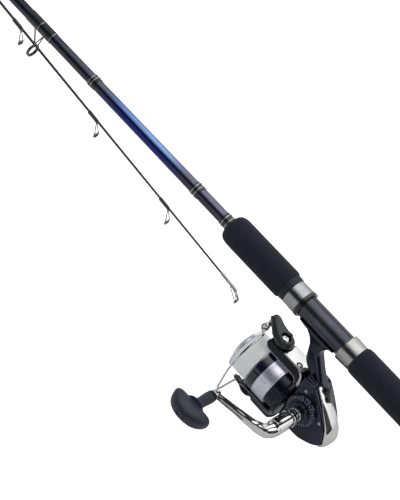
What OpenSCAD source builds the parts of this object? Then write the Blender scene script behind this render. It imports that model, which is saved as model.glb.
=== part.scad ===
// Two-piece spinning rod, broken down with its tip section laid beside the butt section,
// and a spinning reel in the seat. +X runs along the rod towards its tip, +Z is up with the
// reel hanging below, +Y is the side of the crank. The origin is the centre of the butt's end.

/* [Rod] */
// Distance from the butt's end to the middle of the reel seat
seat_x = 345; // [335:1:350]
// Length of each of the two rod sections
section_len = 1390; // [1380:5:1420]
// Outer diameter of the blank inside the grips
blank_d = 11.4; // [11.2:0.1:11.5]
// Wall thickness of the blank
blank_wall = 0.95; // [0.9:0.01:0.98]
// Outer diameter of the fore grip
fore_grip_d = 26.8; // [25:0.2:29]
// Outer diameter of the rear grip
rear_grip_d = 25.8; // [25:0.2:29]
// Outer diameter of the seat's tube
seat_d = 19.4; // [19.3:0.05:19.5]

/* [Tip section] */
// Distance from the rod's axis to the tip section, towards the crank side
tip_y = 25; // [22:1:40]
// Number of ring guides on the tip section
tip_guides = 9; // [5:1:9]
// Distance from the tip to the first ring guide
tip_first_guide = 83; // [60:1:95]

/* [Reel] */
// Distance from the rod's axis down to the spool's axis
spool_drop = 78.7; // [78.2:0.1:79]
// Outer radius of the spool's skirt
skirt_r = 21.7; // [21.4:0.1:21.8]
// Distance from the crank's axis to the knob's axis
crank_arm_len = 53.5; // [48:0.5:56]
// Teeth of the drive gear
drive_teeth = 51; // [45:1:51]
// Teeth of the pinion
pinion_teeth = 10; // [8:1:10]
// Width of the T-shaped knob
knob_w = 40; // [34:1:44]

/* [Hidden] */

$fn = 96;
// Smallest gap left between two faces that run on each other
run = 0.08;
// Gap left between curved faces of the same body
fit = 0.04;
eps = 0.01;

// Blank: straight under the grips, then tapering to the ferrule
taper_from = 110;
taper = 0.0022;
butt_front = section_len - seat_x;
butt_cap_len = 16;
grip_front = 113.9;
grip_travel = 9;
wrap_t = 0.4;
trim_t = 0.55;

function blank_r(x) = blank_d / 2 - max(0, x - taper_from) * taper;

// Decorative and guide wraps on the butt: [rear end, front end] from the seat's middle
BUTT_GUIDE_X = [360, 650, 925];
BUTT_RING_R = [6.7, 5.6, 4.9];
BUTT_DROP = [26.2, 22.5, 19.5];
DECO_WRAPS = [[114.8, 123], [151.3, 160], [285.4, 293.7]];
DECO_TRIMS = [116, 120.2, 154.1, 157.7, 288.9, 292];
trim_w = 0.9;

// Seat
seat_rear = -36.8;
hood_rear_front = -23.2;
hood_front_rear = 22.3;
hood_front_mid = 26;
hood_front_front = 38.2;
barrel_end = 88;
groove_deg = 2.6;
groove_w = 1;
groove_depth = 0.6;
foot_top = 9.2;
foot_tip_half = 3.9;
foot_half = 6.5;
foot_front = 33;
foot_rear = -32;

// Tip section: its own x runs from the tip-top's tube towards the ferrule
tip_x = 70.1;
tip_z = -22.6;
tip_slope = 5.03;
tip_len = section_len - 6;
tip_kink = 320;
guide_growth = 1.105;
guide_step = 97.3;
tip_drop = 11.3;
foot_w = 1.5;

function tip_r(x) = 0.85 + 0.0014 * min(x, tip_kink) + max(0, x - tip_kink) * 0.0022;
function tip_guide_x(k) =
    tip_first_guide + guide_step * (pow(guide_growth, k) - 1) / (guide_growth - 1);
function tip_ring_r(k) = 2.9 + max(0, k - 3) * 0.32;

// Reel: crank axis, pivots and the bail
crank_x = -30;
crank_z = -70;
body_y = 13;
cover_y = 9.9;
wall = 2.2;
neck_r = 9;
neck_bore = 8.02;
shaft_r = 2.2;
sleeve_r = 4.95;
body_front = -15.5;
crank_shaft_r = 2.98;
pivot_x = 20;
pivot_y = 1;
roller_x = 39;
roller_h = 34;
wire_x = 34;
wire_ring_r = 35.5;
wire_r = 0.8;
wire_start = 72;
wire_side = -10;
wire_fall = 17.6;
wire_bend_r = 10;
arm_drop_deg = 12.3;
lever_tilt = 35.8;
knob_x = crank_x + crank_arm_len * cos(arm_drop_deg);
knob_z = crank_z - crank_arm_len * sin(arm_drop_deg);
// How much lower the far arm of the rotor stands than the near one
low_arm = 4;

// Oscillation gearing: teeth, module and the angle of its axis seen from the crank
small_teeth = 14;
osc_teeth = 22;
gear_m = 0.9;
osc_deg = 215;
osc_r = gear_m * (small_teeth + osc_teeth) / 2;
osc_x = crank_x + osc_r * cos(osc_deg);
osc_z = crank_z + osc_r * sin(osc_deg);

// ---------- helpers ----------
module seat() translate([seat_x, 0, 0]) children();
// Turned about the rod's axis: points are [radius, x]
module turned(points) rotate([0, 90, 0]) rotate_extrude() polygon(points);
module tube_x(r_out, r_in, x0, x1) turned([[r_in, x0], [r_out, x0], [r_out, x1], [r_in, x1]]);
module rod_x(r, x0, x1) translate([x0, 0, 0]) rotate([0, 90, 0]) cylinder(r = r, h = x1 - x0);
module spool_axis() seat() translate([0, 0, -spool_drop]) children();
module crank_axis() seat() at_y([crank_x, crank_z]) children();
module knob_axis() seat() at_y([knob_x, knob_z]) children();
module pivot_axis() spool_axis() translate([pivot_x, pivot_y, 0]) children();
module ring(r_out, r_in, y0, y1)
    translate([0, 0, y0]) difference() {
        cylinder(r = r_out, h = y1 - y0);
        translate([0, 0, -eps]) cylinder(r = r_in, h = y1 - y0 + 2 * eps);
    }
module disc(r, y0, y1) translate([0, 0, y0]) cylinder(r = r, h = y1 - y0);
// Plate in the XZ plane, drawn as [x, z] points, between two values of y
module plate_y(points, y0, y1)
    translate([0, y1, 0]) rotate([90, 0, 0]) linear_extrude(y1 - y0) polygon(points);
// Round wire between two points
module strut(a, b, r) {
    d = b - a;
    l = norm(d);
    translate(a) rotate([0, acos(d[2] / l), atan2(d[1], d[0])]) cylinder(r = r, h = l, $fn = 24);
}
module ball(p, r) translate(p) rotate([0, 90, 0]) sphere(r = r, $fn = 24);
// Gear outline with straight-sided teeth; a tooth points along +X
module gear_2d(n, root, tip) {
    pitch = 360 / n;
    polygon([
        for (i = [0 : n - 1], c = [[root, -0.25], [tip, -0.15], [tip, 0.15], [root, 0.25]])
            c[0] * [cos((i + c[1]) * pitch), sin((i + c[1]) * pitch)]
    ]);
}
module sleeve(x0, x1, t)
    turned([
        [blank_r(x0) + fit, x0], [blank_r(x0) + t, x0],
        [blank_r(x1) + t, x1], [blank_r(x1) + fit, x1]
    ]);

// ---------- rod, butt section ----------
module butt_blank() color("#14161f") seat()
    turned([
        [blank_d / 2 - blank_wall, butt_cap_len - seat_x - 6], [blank_d / 2, butt_cap_len - seat_x - 6],
        [blank_d / 2, taper_from], [blank_r(butt_front), butt_front],
        [blank_r(butt_front) - blank_wall, butt_front],
        [blank_d / 2 - blank_wall, taper_from]
    ]);
module butt_cap() color("#202228")
    turned([
        [0, 0], [rear_grip_d / 2 - 1.6, 0], [rear_grip_d / 2 - 0.2, 1.4],
        [rear_grip_d / 2 - 0.05, butt_cap_len - 1.5], [rear_grip_d / 2 - 0.5, butt_cap_len],
        [blank_d / 2 + fit, butt_cap_len], [blank_d / 2 + fit, butt_cap_len - 6.2], [0, butt_cap_len - 6.2]
    ]);
module rear_grip() color("#25262f")
    turned([
        [blank_d / 2 + fit, butt_cap_len], [rear_grip_d / 2, butt_cap_len],
        [rear_grip_d / 2, seat_x - 42], [rear_grip_d / 2 - 0.5, seat_x - 39],
        [rear_grip_d / 2 - 1.6, seat_x + seat_rear], [blank_d / 2 + fit, seat_x + seat_rear]
    ]);
module seat_tube() color("#343845") seat() difference() {
    turned([
        [blank_d / 2 + fit, seat_rear], [seat_d / 2, seat_rear], [seat_d / 2, 37.5],
        [seat_d / 2 - 0.5, 37.5], [seat_d / 2 - 0.5, barrel_end], [blank_d / 2 + fit, barrel_end]
    ]);
    // Flat that the reel's foot lies on
    translate([seat_rear - 1, -seat_d, -2 * seat_d])
        cube([foot_front - seat_rear + 4, 2 * seat_d, 2 * seat_d - foot_top]);
    // Key groove along the crest
    rotate([-groove_deg, 0, 0]) translate([hood_rear_front, -groove_w / 2, seat_d / 2 - groove_depth])
        cube([barrel_end - hood_rear_front + 1, groove_w, 2]);
}
// Pocket in a hood that takes an end of the foot
module foot_pocket(x0, x1)
    translate([x0, -foot_tip_half - 0.4, -11]) cube([x1 - x0, 2 * foot_tip_half + 0.8, 3.4]);
module rear_hood() color("#c9cacb") seat() difference() {
    translate([0, 0, -0.5]) turned([
        [3, seat_rear], [11.7, seat_rear], [12.1, hood_rear_front - 1], [11.9, hood_rear_front], [3, hood_rear_front]
    ]);
    rod_x(seat_d / 2 + fit, seat_rear - 1, hood_rear_front + 1);
    foot_pocket(-33.2, hood_rear_front + 1);
}
module butt_wraps() color("#10121a") seat() {
    for (w = DECO_WRAPS) sleeve(w[0], w[1], wrap_t);
    for (i = [0 : 2]) difference() {
        union() {
            sleeve(BUTT_GUIDE_X[i] + 1.5, BUTT_GUIDE_X[i] + 17, wrap_t);
            sleeve(BUTT_GUIDE_X[i] - 14, BUTT_GUIDE_X[i] + 0.5, wrap_t);
        }
        translate([BUTT_GUIDE_X[i] - 20, -1.4, -10]) cube([45, 2.8, 9]);
    }
}
module trim_rings() color("#d4d5d8") seat() {
    for (x = DECO_TRIMS) difference() {
        sleeve(x - trim_w / 2, x + trim_w / 2, trim_t + 0.2);
        sleeve_core(x - trim_w, x + trim_w, wrap_t + 0.02);
    }
    for (i = [0 : 2]) {
        sleeve(BUTT_GUIDE_X[i] + 0.6, BUTT_GUIDE_X[i] + 1.4, wrap_t);
        sleeve(BUTT_GUIDE_X[i] - 14.9, BUTT_GUIDE_X[i] - 14.1, wrap_t);
    }
}
module sleeve_core(x0, x1, t)
    turned([[0, x0], [blank_r(x0) + t, x0], [blank_r(x1) + t, x1], [0, x1]]);
// Three-leg guide: frame of round wire with a foot at each end
module butt_guide_frame(x, ring_r, drop) {
    rb = blank_r(x);
    foot_z = -(rb + 0.85);
    for (s = [-1, 1])
        translate([s > 0 ? x + 5 : x - 12, -1, foot_z - 0.45]) cube([s > 0 ? 10 : 8.5, 2, 0.9]);
    top = -drop + ring_r;
    a = [x + 7.5, 0, foot_z];
    strut(a, [x + 0.8, 0, top - 0.2], 0.75);
    ball(a, 0.75);
    for (s = [-1, 1]) {
        b = [x - 4.5, s * 0.5, foot_z];
        c = [x, s * ring_r * 0.66, -drop + ring_r * 0.745];
        strut(b, c, 0.6);
        ball(b, 0.6);
    }
    translate([x, 0, -drop]) tube_x(ring_r, ring_r - 0.8, -1, 1);
}
module butt_guide_frames() color("#4a4c52") seat()
    for (i = [0 : 2]) butt_guide_frame(BUTT_GUIDE_X[i], BUTT_RING_R[i], BUTT_DROP[i]);
module guide_ring(r)
    turned([
        [r - 1.6, -0.5], [r - 1.2, -1.1], [r, -1.1], [r, 1.1], [r - 1.2, 1.1], [r - 1.6, 0.5]
    ]);
module butt_guide_rings() color("#1b1c20") seat()
    for (i = [0 : 2]) translate([BUTT_GUIDE_X[i], 0, -BUTT_DROP[i]]) guide_ring(BUTT_RING_R[i] - 0.85);
module spigot() color("#3a3d46") seat()
    turned([[0, butt_front - 60], [2.65, butt_front - 60], [2.65, butt_front + 57], [2.2, butt_front + 60], [0, butt_front + 60]]);

// ---------- locking hood and fore grip ----------
module front_hood() color("#c9cacb") seat() difference() {
    translate([0, 0, -0.5]) turned([
        [3, hood_front_mid + eps], [11.9, hood_front_mid + eps], [11.7, hood_front_front], [3, hood_front_front]
    ]);
    rod_x(seat_d / 2 + run, hood_front_mid - 1, hood_front_front + 1);
    foot_pocket(hood_front_mid - 1, 34.5);
}
module hood_lip() color("#1a1b20") seat() difference() {
    translate([0, 0, -0.5]) turned([
        [3, hood_front_rear], [12, hood_front_rear], [12.3, hood_front_rear + 1], [12.2, hood_front_mid - fit], [3, hood_front_mid - fit]
    ]);
    rod_x(seat_d / 2 + run, hood_front_rear - 1, hood_front_mid + 1);
    foot_pocket(hood_front_rear - 1, hood_front_mid + 1);
}
module lock_nut() color("#2c3040") seat()
    turned([
        [seat_d / 2 - 0.5 + run, 38.4], [11.6, 38.4], [12.2, 43.5], [11.9, 44.7], [seat_d / 2 - 0.5 + run, 44.7]
    ]);
module fore_grip() color("#25262f") seat()
    turned([
        [seat_d / 2 - 0.1, 44.75], [fore_grip_d / 2 - 0.7, 44.75], [fore_grip_d / 2, 47],
        [fore_grip_d / 2, 106], [fore_grip_d / 2 - 0.6, 109.5], [fore_grip_d / 2 - 2, 112.4],
        [fore_grip_d / 2 - 4, grip_front], [6.75, grip_front], [6.75, barrel_end + 4], [seat_d / 2 - 0.1, barrel_end + 4]
    ]);

// ---------- rod, tip section ----------
module tip_section() seat() translate([tip_x, tip_y, tip_z]) rotate([0, -tip_slope, 0]) children();
module tip_blank() color("#15171f") tip_section()
    turned([
        [0, 1], [tip_r(0), 1], [tip_r(tip_kink), tip_kink], [tip_r(tip_len), tip_len],
        [2.7, tip_len], [2.7, tip_len - 62], [0, tip_len - 64]
    ]);
function tip_wrap_ends() = concat(
    [for (k = [0 : tip_guides - 1]) [tip_guide_x(k) + 5.5, tip_guide_x(k) + 18]],
    [[tip_len - 45, tip_len - 0.5]]);
module tip_wraps() color("#101218") tip_section()
    for (w = tip_wrap_ends()) difference() {
        turned([
            [tip_r(w[0]) + fit, w[0]], [tip_r(w[0]) + wrap_t, w[0] + 1],
            [tip_r(w[1]) + wrap_t, w[1] - 1], [tip_r(w[1]) + fit, w[1]]
        ]);
        if (w[1] < tip_len - 1) translate([w[0] - 1, -foot_w / 2 - 0.3, -9]) cube([14.5, foot_w + 0.6, 9]);
    }
// Single-foot guide: two legs run forward and down to the ring
module tip_guide_frame(x, ring_r) {
    z = -(tip_r(x + 6) + 0.6);
    translate([x + 5, -foot_w / 2, z - 0.4]) cube([12.5, foot_w, 0.8]);
    for (s = [-1, 1]) {
        a = [x + 5.6, s * 0.4, z];
        b = [x, s * ring_r * 0.9, -tip_drop + ring_r * 0.42];
        strut(a, b, 0.45);
        ball(a, 0.45);
    }
    translate([x, 0, -tip_drop]) tube_x(ring_r, ring_r - 0.5, -0.7, 0.7);
}
module tip_guide_frames() color("#b9bbc0") tip_section()
    for (k = [0 : tip_guides - 1]) tip_guide_frame(tip_guide_x(k), tip_ring_r(k));
module small_ring(r) turned([[r - 0.8, -0.3], [r - 0.5, -0.8], [r, -0.8], [r, 0.8], [r - 0.5, 0.8], [r - 0.8, 0.3]]);
module tip_guide_rings() color("#3b3d42") tip_section()
    for (k = [0 : tip_guides - 1]) translate([tip_guide_x(k), 0, -tip_drop]) small_ring(tip_ring_r(k) - 0.55);
module tip_top_frame() color("#8d8f96") tip_section() {
    difference() {
        rod_x(1.35, 0, 19);
        rod_x(tip_r(19) + fit, 1 - fit, 20);
    }
    for (s = [-1, 1]) {
        strut([0.6, s * 0.6, -0.3], [-5.6, s * 1.6, -5], 0.45);
        strut([6, s * 0.6, -1.25], [-5.6, s * 2.55, -6.4], 0.4);
    }
    translate([-5.6, 0, -7.2]) tube_x(2.7, 2.2, -0.7, 0.7);
}
module tip_top_ring() color("#3b3d42") tip_section() translate([-5.6, 0, -7.2]) small_ring(2.15);

// ---------- reel: body ----------
STEM = [
    [-15, -foot_top], [13, -foot_top], [13, -11.4], [9, -13.4], [4.5, -16.6], [1.1, -20.9],
    [-0.5, -27.2], [-2.9, -34.7], [-7.2, -39.9], [body_front, -44.5], [-28.6, -44.5],
    [-28.6, -42], [-26.7, -40.9], [-19.5, -33.5], [-12, -24.8], [-10.6, -21], [-12, -17], [-15, -13.4]
];
HOUSING = [
    [body_front, -43.6], [-28, -43.6], [-39.8, -53.4], [-53.8, -67.8], [-59.8, -81.5],
    [-57, -86], [-52, -89.6], [-41.4, -94.4], [-34.5, -94.9], [-20, -94.5], [body_front, -91]
];
CAVITY = [
    [body_front - wall, -45.8], [-27.2, -45.8], [-38.2, -55], [-51.8, -69], [-57.5, -81.3],
    [-55.6, -84.3], [-51, -87.6], [-41, -92.2], [-34.5, -92.7], [-21, -92.3], [body_front - wall, -89.6]
];
SCREWS = [[-23.4, -52.5], [-48, -66.3], [-20.5, -89.3]];
module foot() {
    plate_y([
        [foot_front, -foot_top], [foot_front, -10.3], [14, -11.2], [-14, -11.2],
        [foot_rear, -10.3], [foot_rear, -foot_top]
    ], -foot_tip_half, foot_tip_half);
    plate_y([
        [19.5, -foot_top], [19.5, -10.6], [12, -11.6], [-12, -11.6], [-19.5, -10.6], [-19.5, -foot_top]
    ], -foot_half, foot_half);
}
module reel_shell() difference() {
    union() {
        foot();
        plate_y(STEM, -5.5, 5.5);
        plate_y(HOUSING, -body_y, cover_y);
        translate([0, 0, -spool_drop]) rod_x(neck_r, body_front - 1, -8);
    }
    plate_y(CAVITY, -body_y + 2.5, cover_y + 1);
    translate([0, 0, -spool_drop]) rod_x(neck_bore, body_front - wall - 1, -7);
    at_y([crank_x, crank_z]) disc(6.02, -body_y - 1, 0);
}
module reel_body() color("#1b1d2b") seat() difference() {
    union() {
        reel_shell();
        // Posts that take the cover's screws
        for (p = SCREWS) at_y(p) disc(2.4, -body_y + 2.4, cover_y);
    }
    for (p = SCREWS) at_y(p) disc(1.05, cover_y - 8, cover_y + 1);
}
// Turns a child drawn along z on to the y axis at a point [x, z]
module at_y(p) translate([p[0], 0, p[1]]) rotate([-90, 0, 0]) children();
module side_cover() color("#1b1d2b") seat() {
    difference() {
        union() {
            plate_y(HOUSING, cover_y + 0.02, body_y);
            at_y([crank_x, crank_z]) {
                disc(15.3, body_y - 1, 16);
                disc(9, 15, 19);
            }
        }
        at_y([crank_x, crank_z]) {
            disc(6.02, cover_y - 1, 17.2);
            disc(4.2, 16, 20);
            for (i = [0 : 35]) rotate(i * 10) translate([11.2, -0.35, 15.4]) cube([3.2, 0.7, 1]);
        }
        for (p = SCREWS) at_y(p) {
            disc(1.3, cover_y - 1, body_y + 1);
            disc(1.9, body_y - 1.4, body_y + 1);
        }
    }
    // Axle of the oscillation gear
    at_y([osc_x, osc_z]) disc(1.54, 5.2, cover_y + 0.5);
}
module rear_cover() color("#d9dadd") seat() difference() {
    plate_y([
        [-28.9, -44.25], [-29.3, -42.5], [-41.8, -51.5], [-56.5, -66.5], [-61.5, -76], [-63.3, -82.4],
        [-61.5, -86.5], [-57.2, -89.4], [-52.5, -91], [-52.03, -89.68], [-57.06, -86.06],
        [-59.87, -81.5], [-53.86, -67.76], [-39.85, -53.33]
    ], -9, 9);
    lever_frame() translate([0, 0, -5]) cylinder(r = 1.3, h = 7);
}
// Surface of the rear cover where the anti-reverse lever turns
module lever_frame() translate([-40, 0, -50.2]) rotate([0, -lever_tilt, 0]) children();
module cover_screws() color("#c4c6ca") seat()
    for (p = SCREWS) at_y(p) {
        disc(1.0, cover_y - 6, body_y - 1);
        difference() {
            disc(1.8, body_y - 1.35, body_y + 0.1);
            for (a = [0, 90]) rotate(a) translate([-1.2, -0.2, body_y - 0.4]) cube([2.4, 0.4, 1]);
        }
    }
module crank_bearings() color("#b7b9bd") crank_axis() {
    ring(6, 3.05, -body_y, -body_y + 2.4);
    ring(6, 3.05, 14.2, 17.1);
}
module pinion_bearing() color("#b7b9bd") spool_axis() tube_x(8, sleeve_r + 0.06, -17.4, -13.6);
module roller_clutch() color("#8f9298") spool_axis() tube_x(8, sleeve_r + 0.06, -13.4, -8.2);
module oscillation_gear() color("#c9b878") seat() at_y([osc_x, osc_z]) {
    // rotate(-angle) because the crank's frame turns z towards -y
    difference() {
        translate([0, 0, 6]) rotate(-osc_deg + 180 + 180 / osc_teeth) linear_extrude(2.2)
            gear_2d(osc_teeth, gear_m * osc_teeth / 2 - 0.75, gear_m * osc_teeth / 2 + 0.45);
        disc(1.6, 5, 9);
    }
    rotate(20) translate([6.3, 0, 0]) disc(1.1, 5, 6.1);
}
module anti_reverse_lever() color("#2a2b33") seat() lever_frame() {
    translate([0, 0, 0.4]) cylinder(r = 3.4, h = 2);
    translate([0, 0, -1.6]) cylinder(r = 1.22, h = 3);
    translate([0, -2.2, 0.4]) cube([8.5, 4.4, 2]);
    translate([6, -2.2, 0.4]) cube([2.8, 4.4, 3.6]);
}

// ---------- crank ----------
module drive_gear() color("#b9a15f") crank_axis() {
    rotate(-osc_deg) translate([0, 0, 6]) linear_extrude(2.2)
        gear_2d(small_teeth, gear_m * small_teeth / 2 - 0.75, gear_m * small_teeth / 2 + 0.45);
    disc(12, -10.2, -6.8);
    for (i = [0 : drive_teeth - 1]) rotate(i * 360 / drive_teeth)
        translate([9.7, -0.25, -6.9]) cube([2.2, 0.5, 1.2]);
    disc(crank_shaft_r, -body_y - 0.5, 24);
    disc(4.4, -6.9, 8.4);
}
module crank_collar() color("#d9dadd") crank_axis() {
    ring(6, 3.02, 19.3, 31);
    ring(7.6, 3.02, 31, 33);
}
module crank_stem() color("#d9dadd") crank_axis() difference() {
    union() {
        disc(7.1, 33.05, 53);
        disc(5.5, 52, 57);
    }
    rotate(arm_drop_deg) {
        translate([-8, -3, 44]) cube([16, 6, 20]);
        rotate([90, 0, 0]) translate([0, 47.5, -10]) cylinder(r = 1.55, h = 20);
    }
}
module crank_arm() color("#d9dadd") crank_axis() rotate(arm_drop_deg) difference() {
    union() {
        // Tongue in the stem's slot
        translate([-4.6, -2.7, 44.6]) cube([9.2, 5.4, 14]);
        translate([0, 0, 57.2]) cylinder(r = 6.6, h = 7.4);
        linear_extrude_from(60, 64.6) polygon([[0, -4.8], [crank_arm_len, -2.2], [crank_arm_len, 2.2], [0, 4.8]]);
        translate([crank_arm_len, 0, 59.6]) cylinder(r = 4, h = 5.6);
    }
    translate([crank_arm_len, 0, 59]) cylinder(r = 1.95, h = 7);
    rotate([90, 0, 0]) translate([0, 47.5, -10]) cylinder(r = 1.55, h = 20);
}
module linear_extrude_from(z0, z1) translate([0, 0, z0]) linear_extrude(z1 - z0) children();
module fold_pin() color("#9fa2a8") crank_axis() rotate(arm_drop_deg) rotate([90, 0, 0])
    translate([0, 47.5, -6.4]) cylinder(r = 1.5, h = 12.8);
module screw_cap() color("#c4c6ca") crank_axis() {
    disc(6.4, -body_y - 3.4, -body_y - 0.6);
}
module knob_pin() color("#b7b9bd") knob_axis() {
    disc(1.9, 59, 100);
    disc(3.2, 58.2, 59.5);
}
module knob_washer() color("#202127") knob_axis() ring(4.6, 1.96, 65.3, 68.4);
module handle_knob() color("#2a2e3c") knob_axis() difference() {
    union() {
        translate([0, 0, 68.6]) cylinder(r1 = 5, r2 = 4.6, h = 22);
        // Half-moon grip: flat face towards the arm
        intersection() {
            translate([0, 7, 88.4]) rotate([90, 0, 0]) cylinder(r = knob_w / 2, h = 14);
            translate([-knob_w, -8, 88.4]) cube([2 * knob_w, 16, 19]);
        }
    }
    disc(1.96, 60, 100.5);
    disc(3.6, 105, 110);
}
module knob_end_cap() color("#3a3e4c") knob_axis() disc(3.5, 105.05, 107.6);

// ---------- rotor ----------
ARM = [
    [-14, 14], [-14, 29], [-10.5, 33], [11.5, 33], [13.5, 32.5], [27.5, 32.5], [29.5, 30.5],
    [29.5, 26], [25, 23.2], [-9, 23.2], [-9.5, 14]
];
// The far arm is slimmer than the one that carries the line roller
FAR_ARM = [
    [-14, 14], [-14, 25.5], [-11, 29], [11.5, 29], [13.5, 28.8], [27.5, 28.6], [29.3, 27.2],
    [29.3, 25.4], [25, 23.2], [-9, 23.2], [-9.5, 14]
];
module arm_half(outline, lower) {
    translate([0, 9, 0]) rotate([90, 0, 0]) linear_extrude(18) polygon(outline);
    translate([pivot_x, pivot_y, 31 - lower]) cylinder(r = 6.5, h = 3.2);
}
module rotor() color("#171926") spool_axis() difference() {
    union() {
        tube_x(19.6, 17, -14, 10);
        tube_x(22, 10, -14, -9.5);
        tube_x(18, sleeve_r + 0.03, -6, -3);
        arm_half(ARM, 0);
        mirror([0, 0, 1]) arm_half(FAR_ARM, low_arm);
    }
    rod_x(10, -15, -6);
    for (m = [0, 1]) mirror([0, 0, m]) {
        translate([pivot_x, pivot_y, 26 - 2 * m]) cylinder(r = 1.5, h = 12);
        translate([-4, 5.5, 25 - m]) cylinder(r = 1.05, h = 10);
    }
}
module arm_cover() difference() {
    translate([-9.5, -8.6, 33.05]) cube([20.5, 17.2, 1]);
    translate([-4, 5.5, 32]) cylinder(r = 2.2, h = 4);
    translate([pivot_x, pivot_y, 32]) cylinder(r = 10, h = 4);
}
module arm_cover_a() color("#dddee0") spool_axis() arm_cover();
module arm_cover_b() color("#c8cad4") spool_axis() mirror([0, 0, 1]) translate([0, 0, -low_arm]) arm_cover();
module arm_cover_screws() color("#b7b9bd") spool_axis()
    for (m = [0, 1]) mirror([0, 0, m]) translate([-4, 5.5, -m * low_arm]) {
        disc(1, 26.5 + 2 * m, 33.4);
        difference() {
            disc(2.1, 33.1, 33.9);
            for (a = [0, 90]) rotate(a) translate([-1.3, -0.2, 33.5]) cube([2.6, 0.4, 1]);
        }
    }
module rotor_nut() color("#c9b878") spool_axis() difference() {
    translate([-2.95, 0, 0]) rotate([0, 90, 0]) cylinder(r = 8, h = 4, $fn = 6);
    rod_x(sleeve_r + 0.03, -4, 2);
}
module pinion() color("#b9a15f") spool_axis() difference() {
    union() {
        rod_x(sleeve_r, -18.2, 1.2);
        rotate([0, 90, 0]) translate([0, 0, -26]) linear_extrude(8) gear_2d(pinion_teeth, 4.3, 5.3);
    }
    rod_x(shaft_r + run, -27, 2);
}

// ---------- bail ----------
module bail_lever() color("#33353d") pivot_axis() difference() {
    union() {
        disc(9, 34.5, 39);
        linear_extrude_from(34.5, 39)
            polygon([[-2, 8.8], [8, 7.4], [13, 2.4], [13, -12], [6, -9.6], [-3, -8.5]]);
        linear_extrude_from(38, 40.9)
            polygon([[4, 8], [8, 7.4], [14.5, 0.5], [22.5, -6], [22.5, -13], [16, -13.4], [4, -9]]);
        translate([16, -13.4, 30.8]) cube([6.5, 5.4, 7.5]);
    }
    disc(1.55, 33, 42);
    disc(4.4, 36.8, 42);
    translate([roller_x - pivot_x, -10, roller_h]) rotate([90, 0, 0])
        cylinder(r = 1.3, h = 10, center = true);
}
module bail_holder() color("#2b2d35") pivot_axis() mirror([0, 0, 1]) translate([0, 0, -low_arm]) difference() {
    union() {
        disc(6.5, 34.5, 37.2);
        linear_extrude_from(34.5, 37.2) polygon([[0, 5], [13, 1.5], [18, 1.5], [18, -2.8], [13, -3], [0, -6]]);
    }
    disc(1.55, 33, 41);
    disc(3.2, 35.9, 41);
    translate([wire_x - pivot_x, -pivot_y, low_arm - wire_foot[2]]) rotate([90, 0, 0])
        cylinder(r = wire_r + 0.15, h = 12, center = true);
}
// The wire's loop: a wide turn, a straight fall, a tight turn, and a straight foot
function wire_point(a) = [wire_x, wire_ring_r * cos(a), wire_ring_r * sin(a)];
wire_fallen = wire_point(wire_side) + wire_fall * [0, sin(wire_side), -cos(wire_side)];
wire_bend = wire_fallen - wire_bend_r * [0, cos(wire_side), sin(wire_side)];
wire_foot = wire_bend - [0, 0, wire_bend_r];
module wire_turn(centre, r, a0, a1)
    translate(centre) rotate([0, 90, 0]) rotate(90 + a1)
        rotate_extrude(angle = a0 - a1) translate([r, 0]) circle(r = wire_r, $fn = 24);
module bail_wire() color("#d9dadd") spool_axis() {
    // Cone that leads the line on to the roller, and a short neck
    translate([roller_x, 5.4, roller_h]) rotate([-90, 0, 0]) cylinder(r1 = 3.3, r2 = 1.6, h = 2.6);
    strut([roller_x, 7.6, roller_h], wire_point(wire_start), wire_r);
    for (joint = [wire_point(wire_start), wire_point(wire_side), wire_fallen, wire_foot])
        ball(joint, wire_r + 0.3);
    wire_turn([wire_x, 0, 0], wire_ring_r, wire_start, wire_side);
    strut(wire_point(wire_side), wire_fallen, wire_r);
    wire_turn(wire_bend, wire_bend_r, wire_side, -90);
    strut(wire_foot, [wire_x, -1.4, wire_foot[2]], wire_r);
}
module roller_pin() color("#b7b9bd") spool_axis() translate([roller_x, 0, roller_h]) rotate([-90, 0, 0]) {
    disc(1.25, -12.3, 5.35);
}
// Screws that the bail turns on: [head radius, head's foot, head's top]
BAIL_SCREWS = [[3.9, 36.9, 38.6], [2.9, 32, 33]];
module bail_screws() color("#c4c6ca") pivot_axis() for (m = [0, 1]) mirror([0, 0, m]) difference() {
    s = BAIL_SCREWS[m];
    union() {
        disc(1.42, 28 - 3 * m, s[1] + 0.1);
        disc(s[0], s[1], s[2]);
    }
    for (a = [0, 90]) rotate(a) translate([-2, -0.35, s[2] - 0.7]) cube([4, 0.7, 2]);
}
module line_roller() color("#e2e3e6") spool_axis() translate([roller_x, 0, roller_h]) rotate([-90, 0, 0])
    rotate_extrude() polygon([
        [1.32, -6.6], [3.6, -6.6], [3.6, -5.2], [2.6, -3.4], [2.6, 0.6], [3.6, 2.6], [3.6, 4.9], [1.32, 4.9]
    ]);

// ---------- spool and drag ----------
module main_shaft() color("#b7b9bd") spool_axis() rod_x(shaft_r, -45.2, 45.5);
module crosswind_block() color("#8f9298") spool_axis() difference() {
    translate([-45, -4.4, -6.2]) cube([4.5, 8.8, 12]);
    rod_x(shaft_r + fit, -46, -40);
}
module spool() color("#cfd0d4") spool_axis()
    turned([
        [20.2, 0], [skirt_r - 0.4, 0], [skirt_r, 0.4], [skirt_r, 11.7], [skirt_r + 0.1, 11.9],
        [skirt_r + 0.1, 13.7], [20.8, 13.7], [20.8, 22.5], [15, 22.5], [15, 40.7], [20, 40.7],
        [20.3, 42], [19.6, 43.3], [13.2, 43.3], [13.2, 29.2], [shaft_r + run, 29.2],
        [shaft_r + run, 18], [4.5, 18], [4.5, 24], [13, 24], [13, 20.4], [20.2, 20.4]
    ]);
module spool_band() color("#141a3c") spool_axis() tube_x(skirt_r + 0.05, 20.84, 13.72, 22.5);
module wound_line() color("#e4e6e6") spool_axis() tube_x(19.8, 15.04, 22.55, 40.6);
module drag_washers() color("#a08a60") spool_axis() for (i = [0 : 2])
    tube_x(12.4, shaft_r + 0.2, 29.6 + 2 * i, 31.2 + 2 * i);
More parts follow.
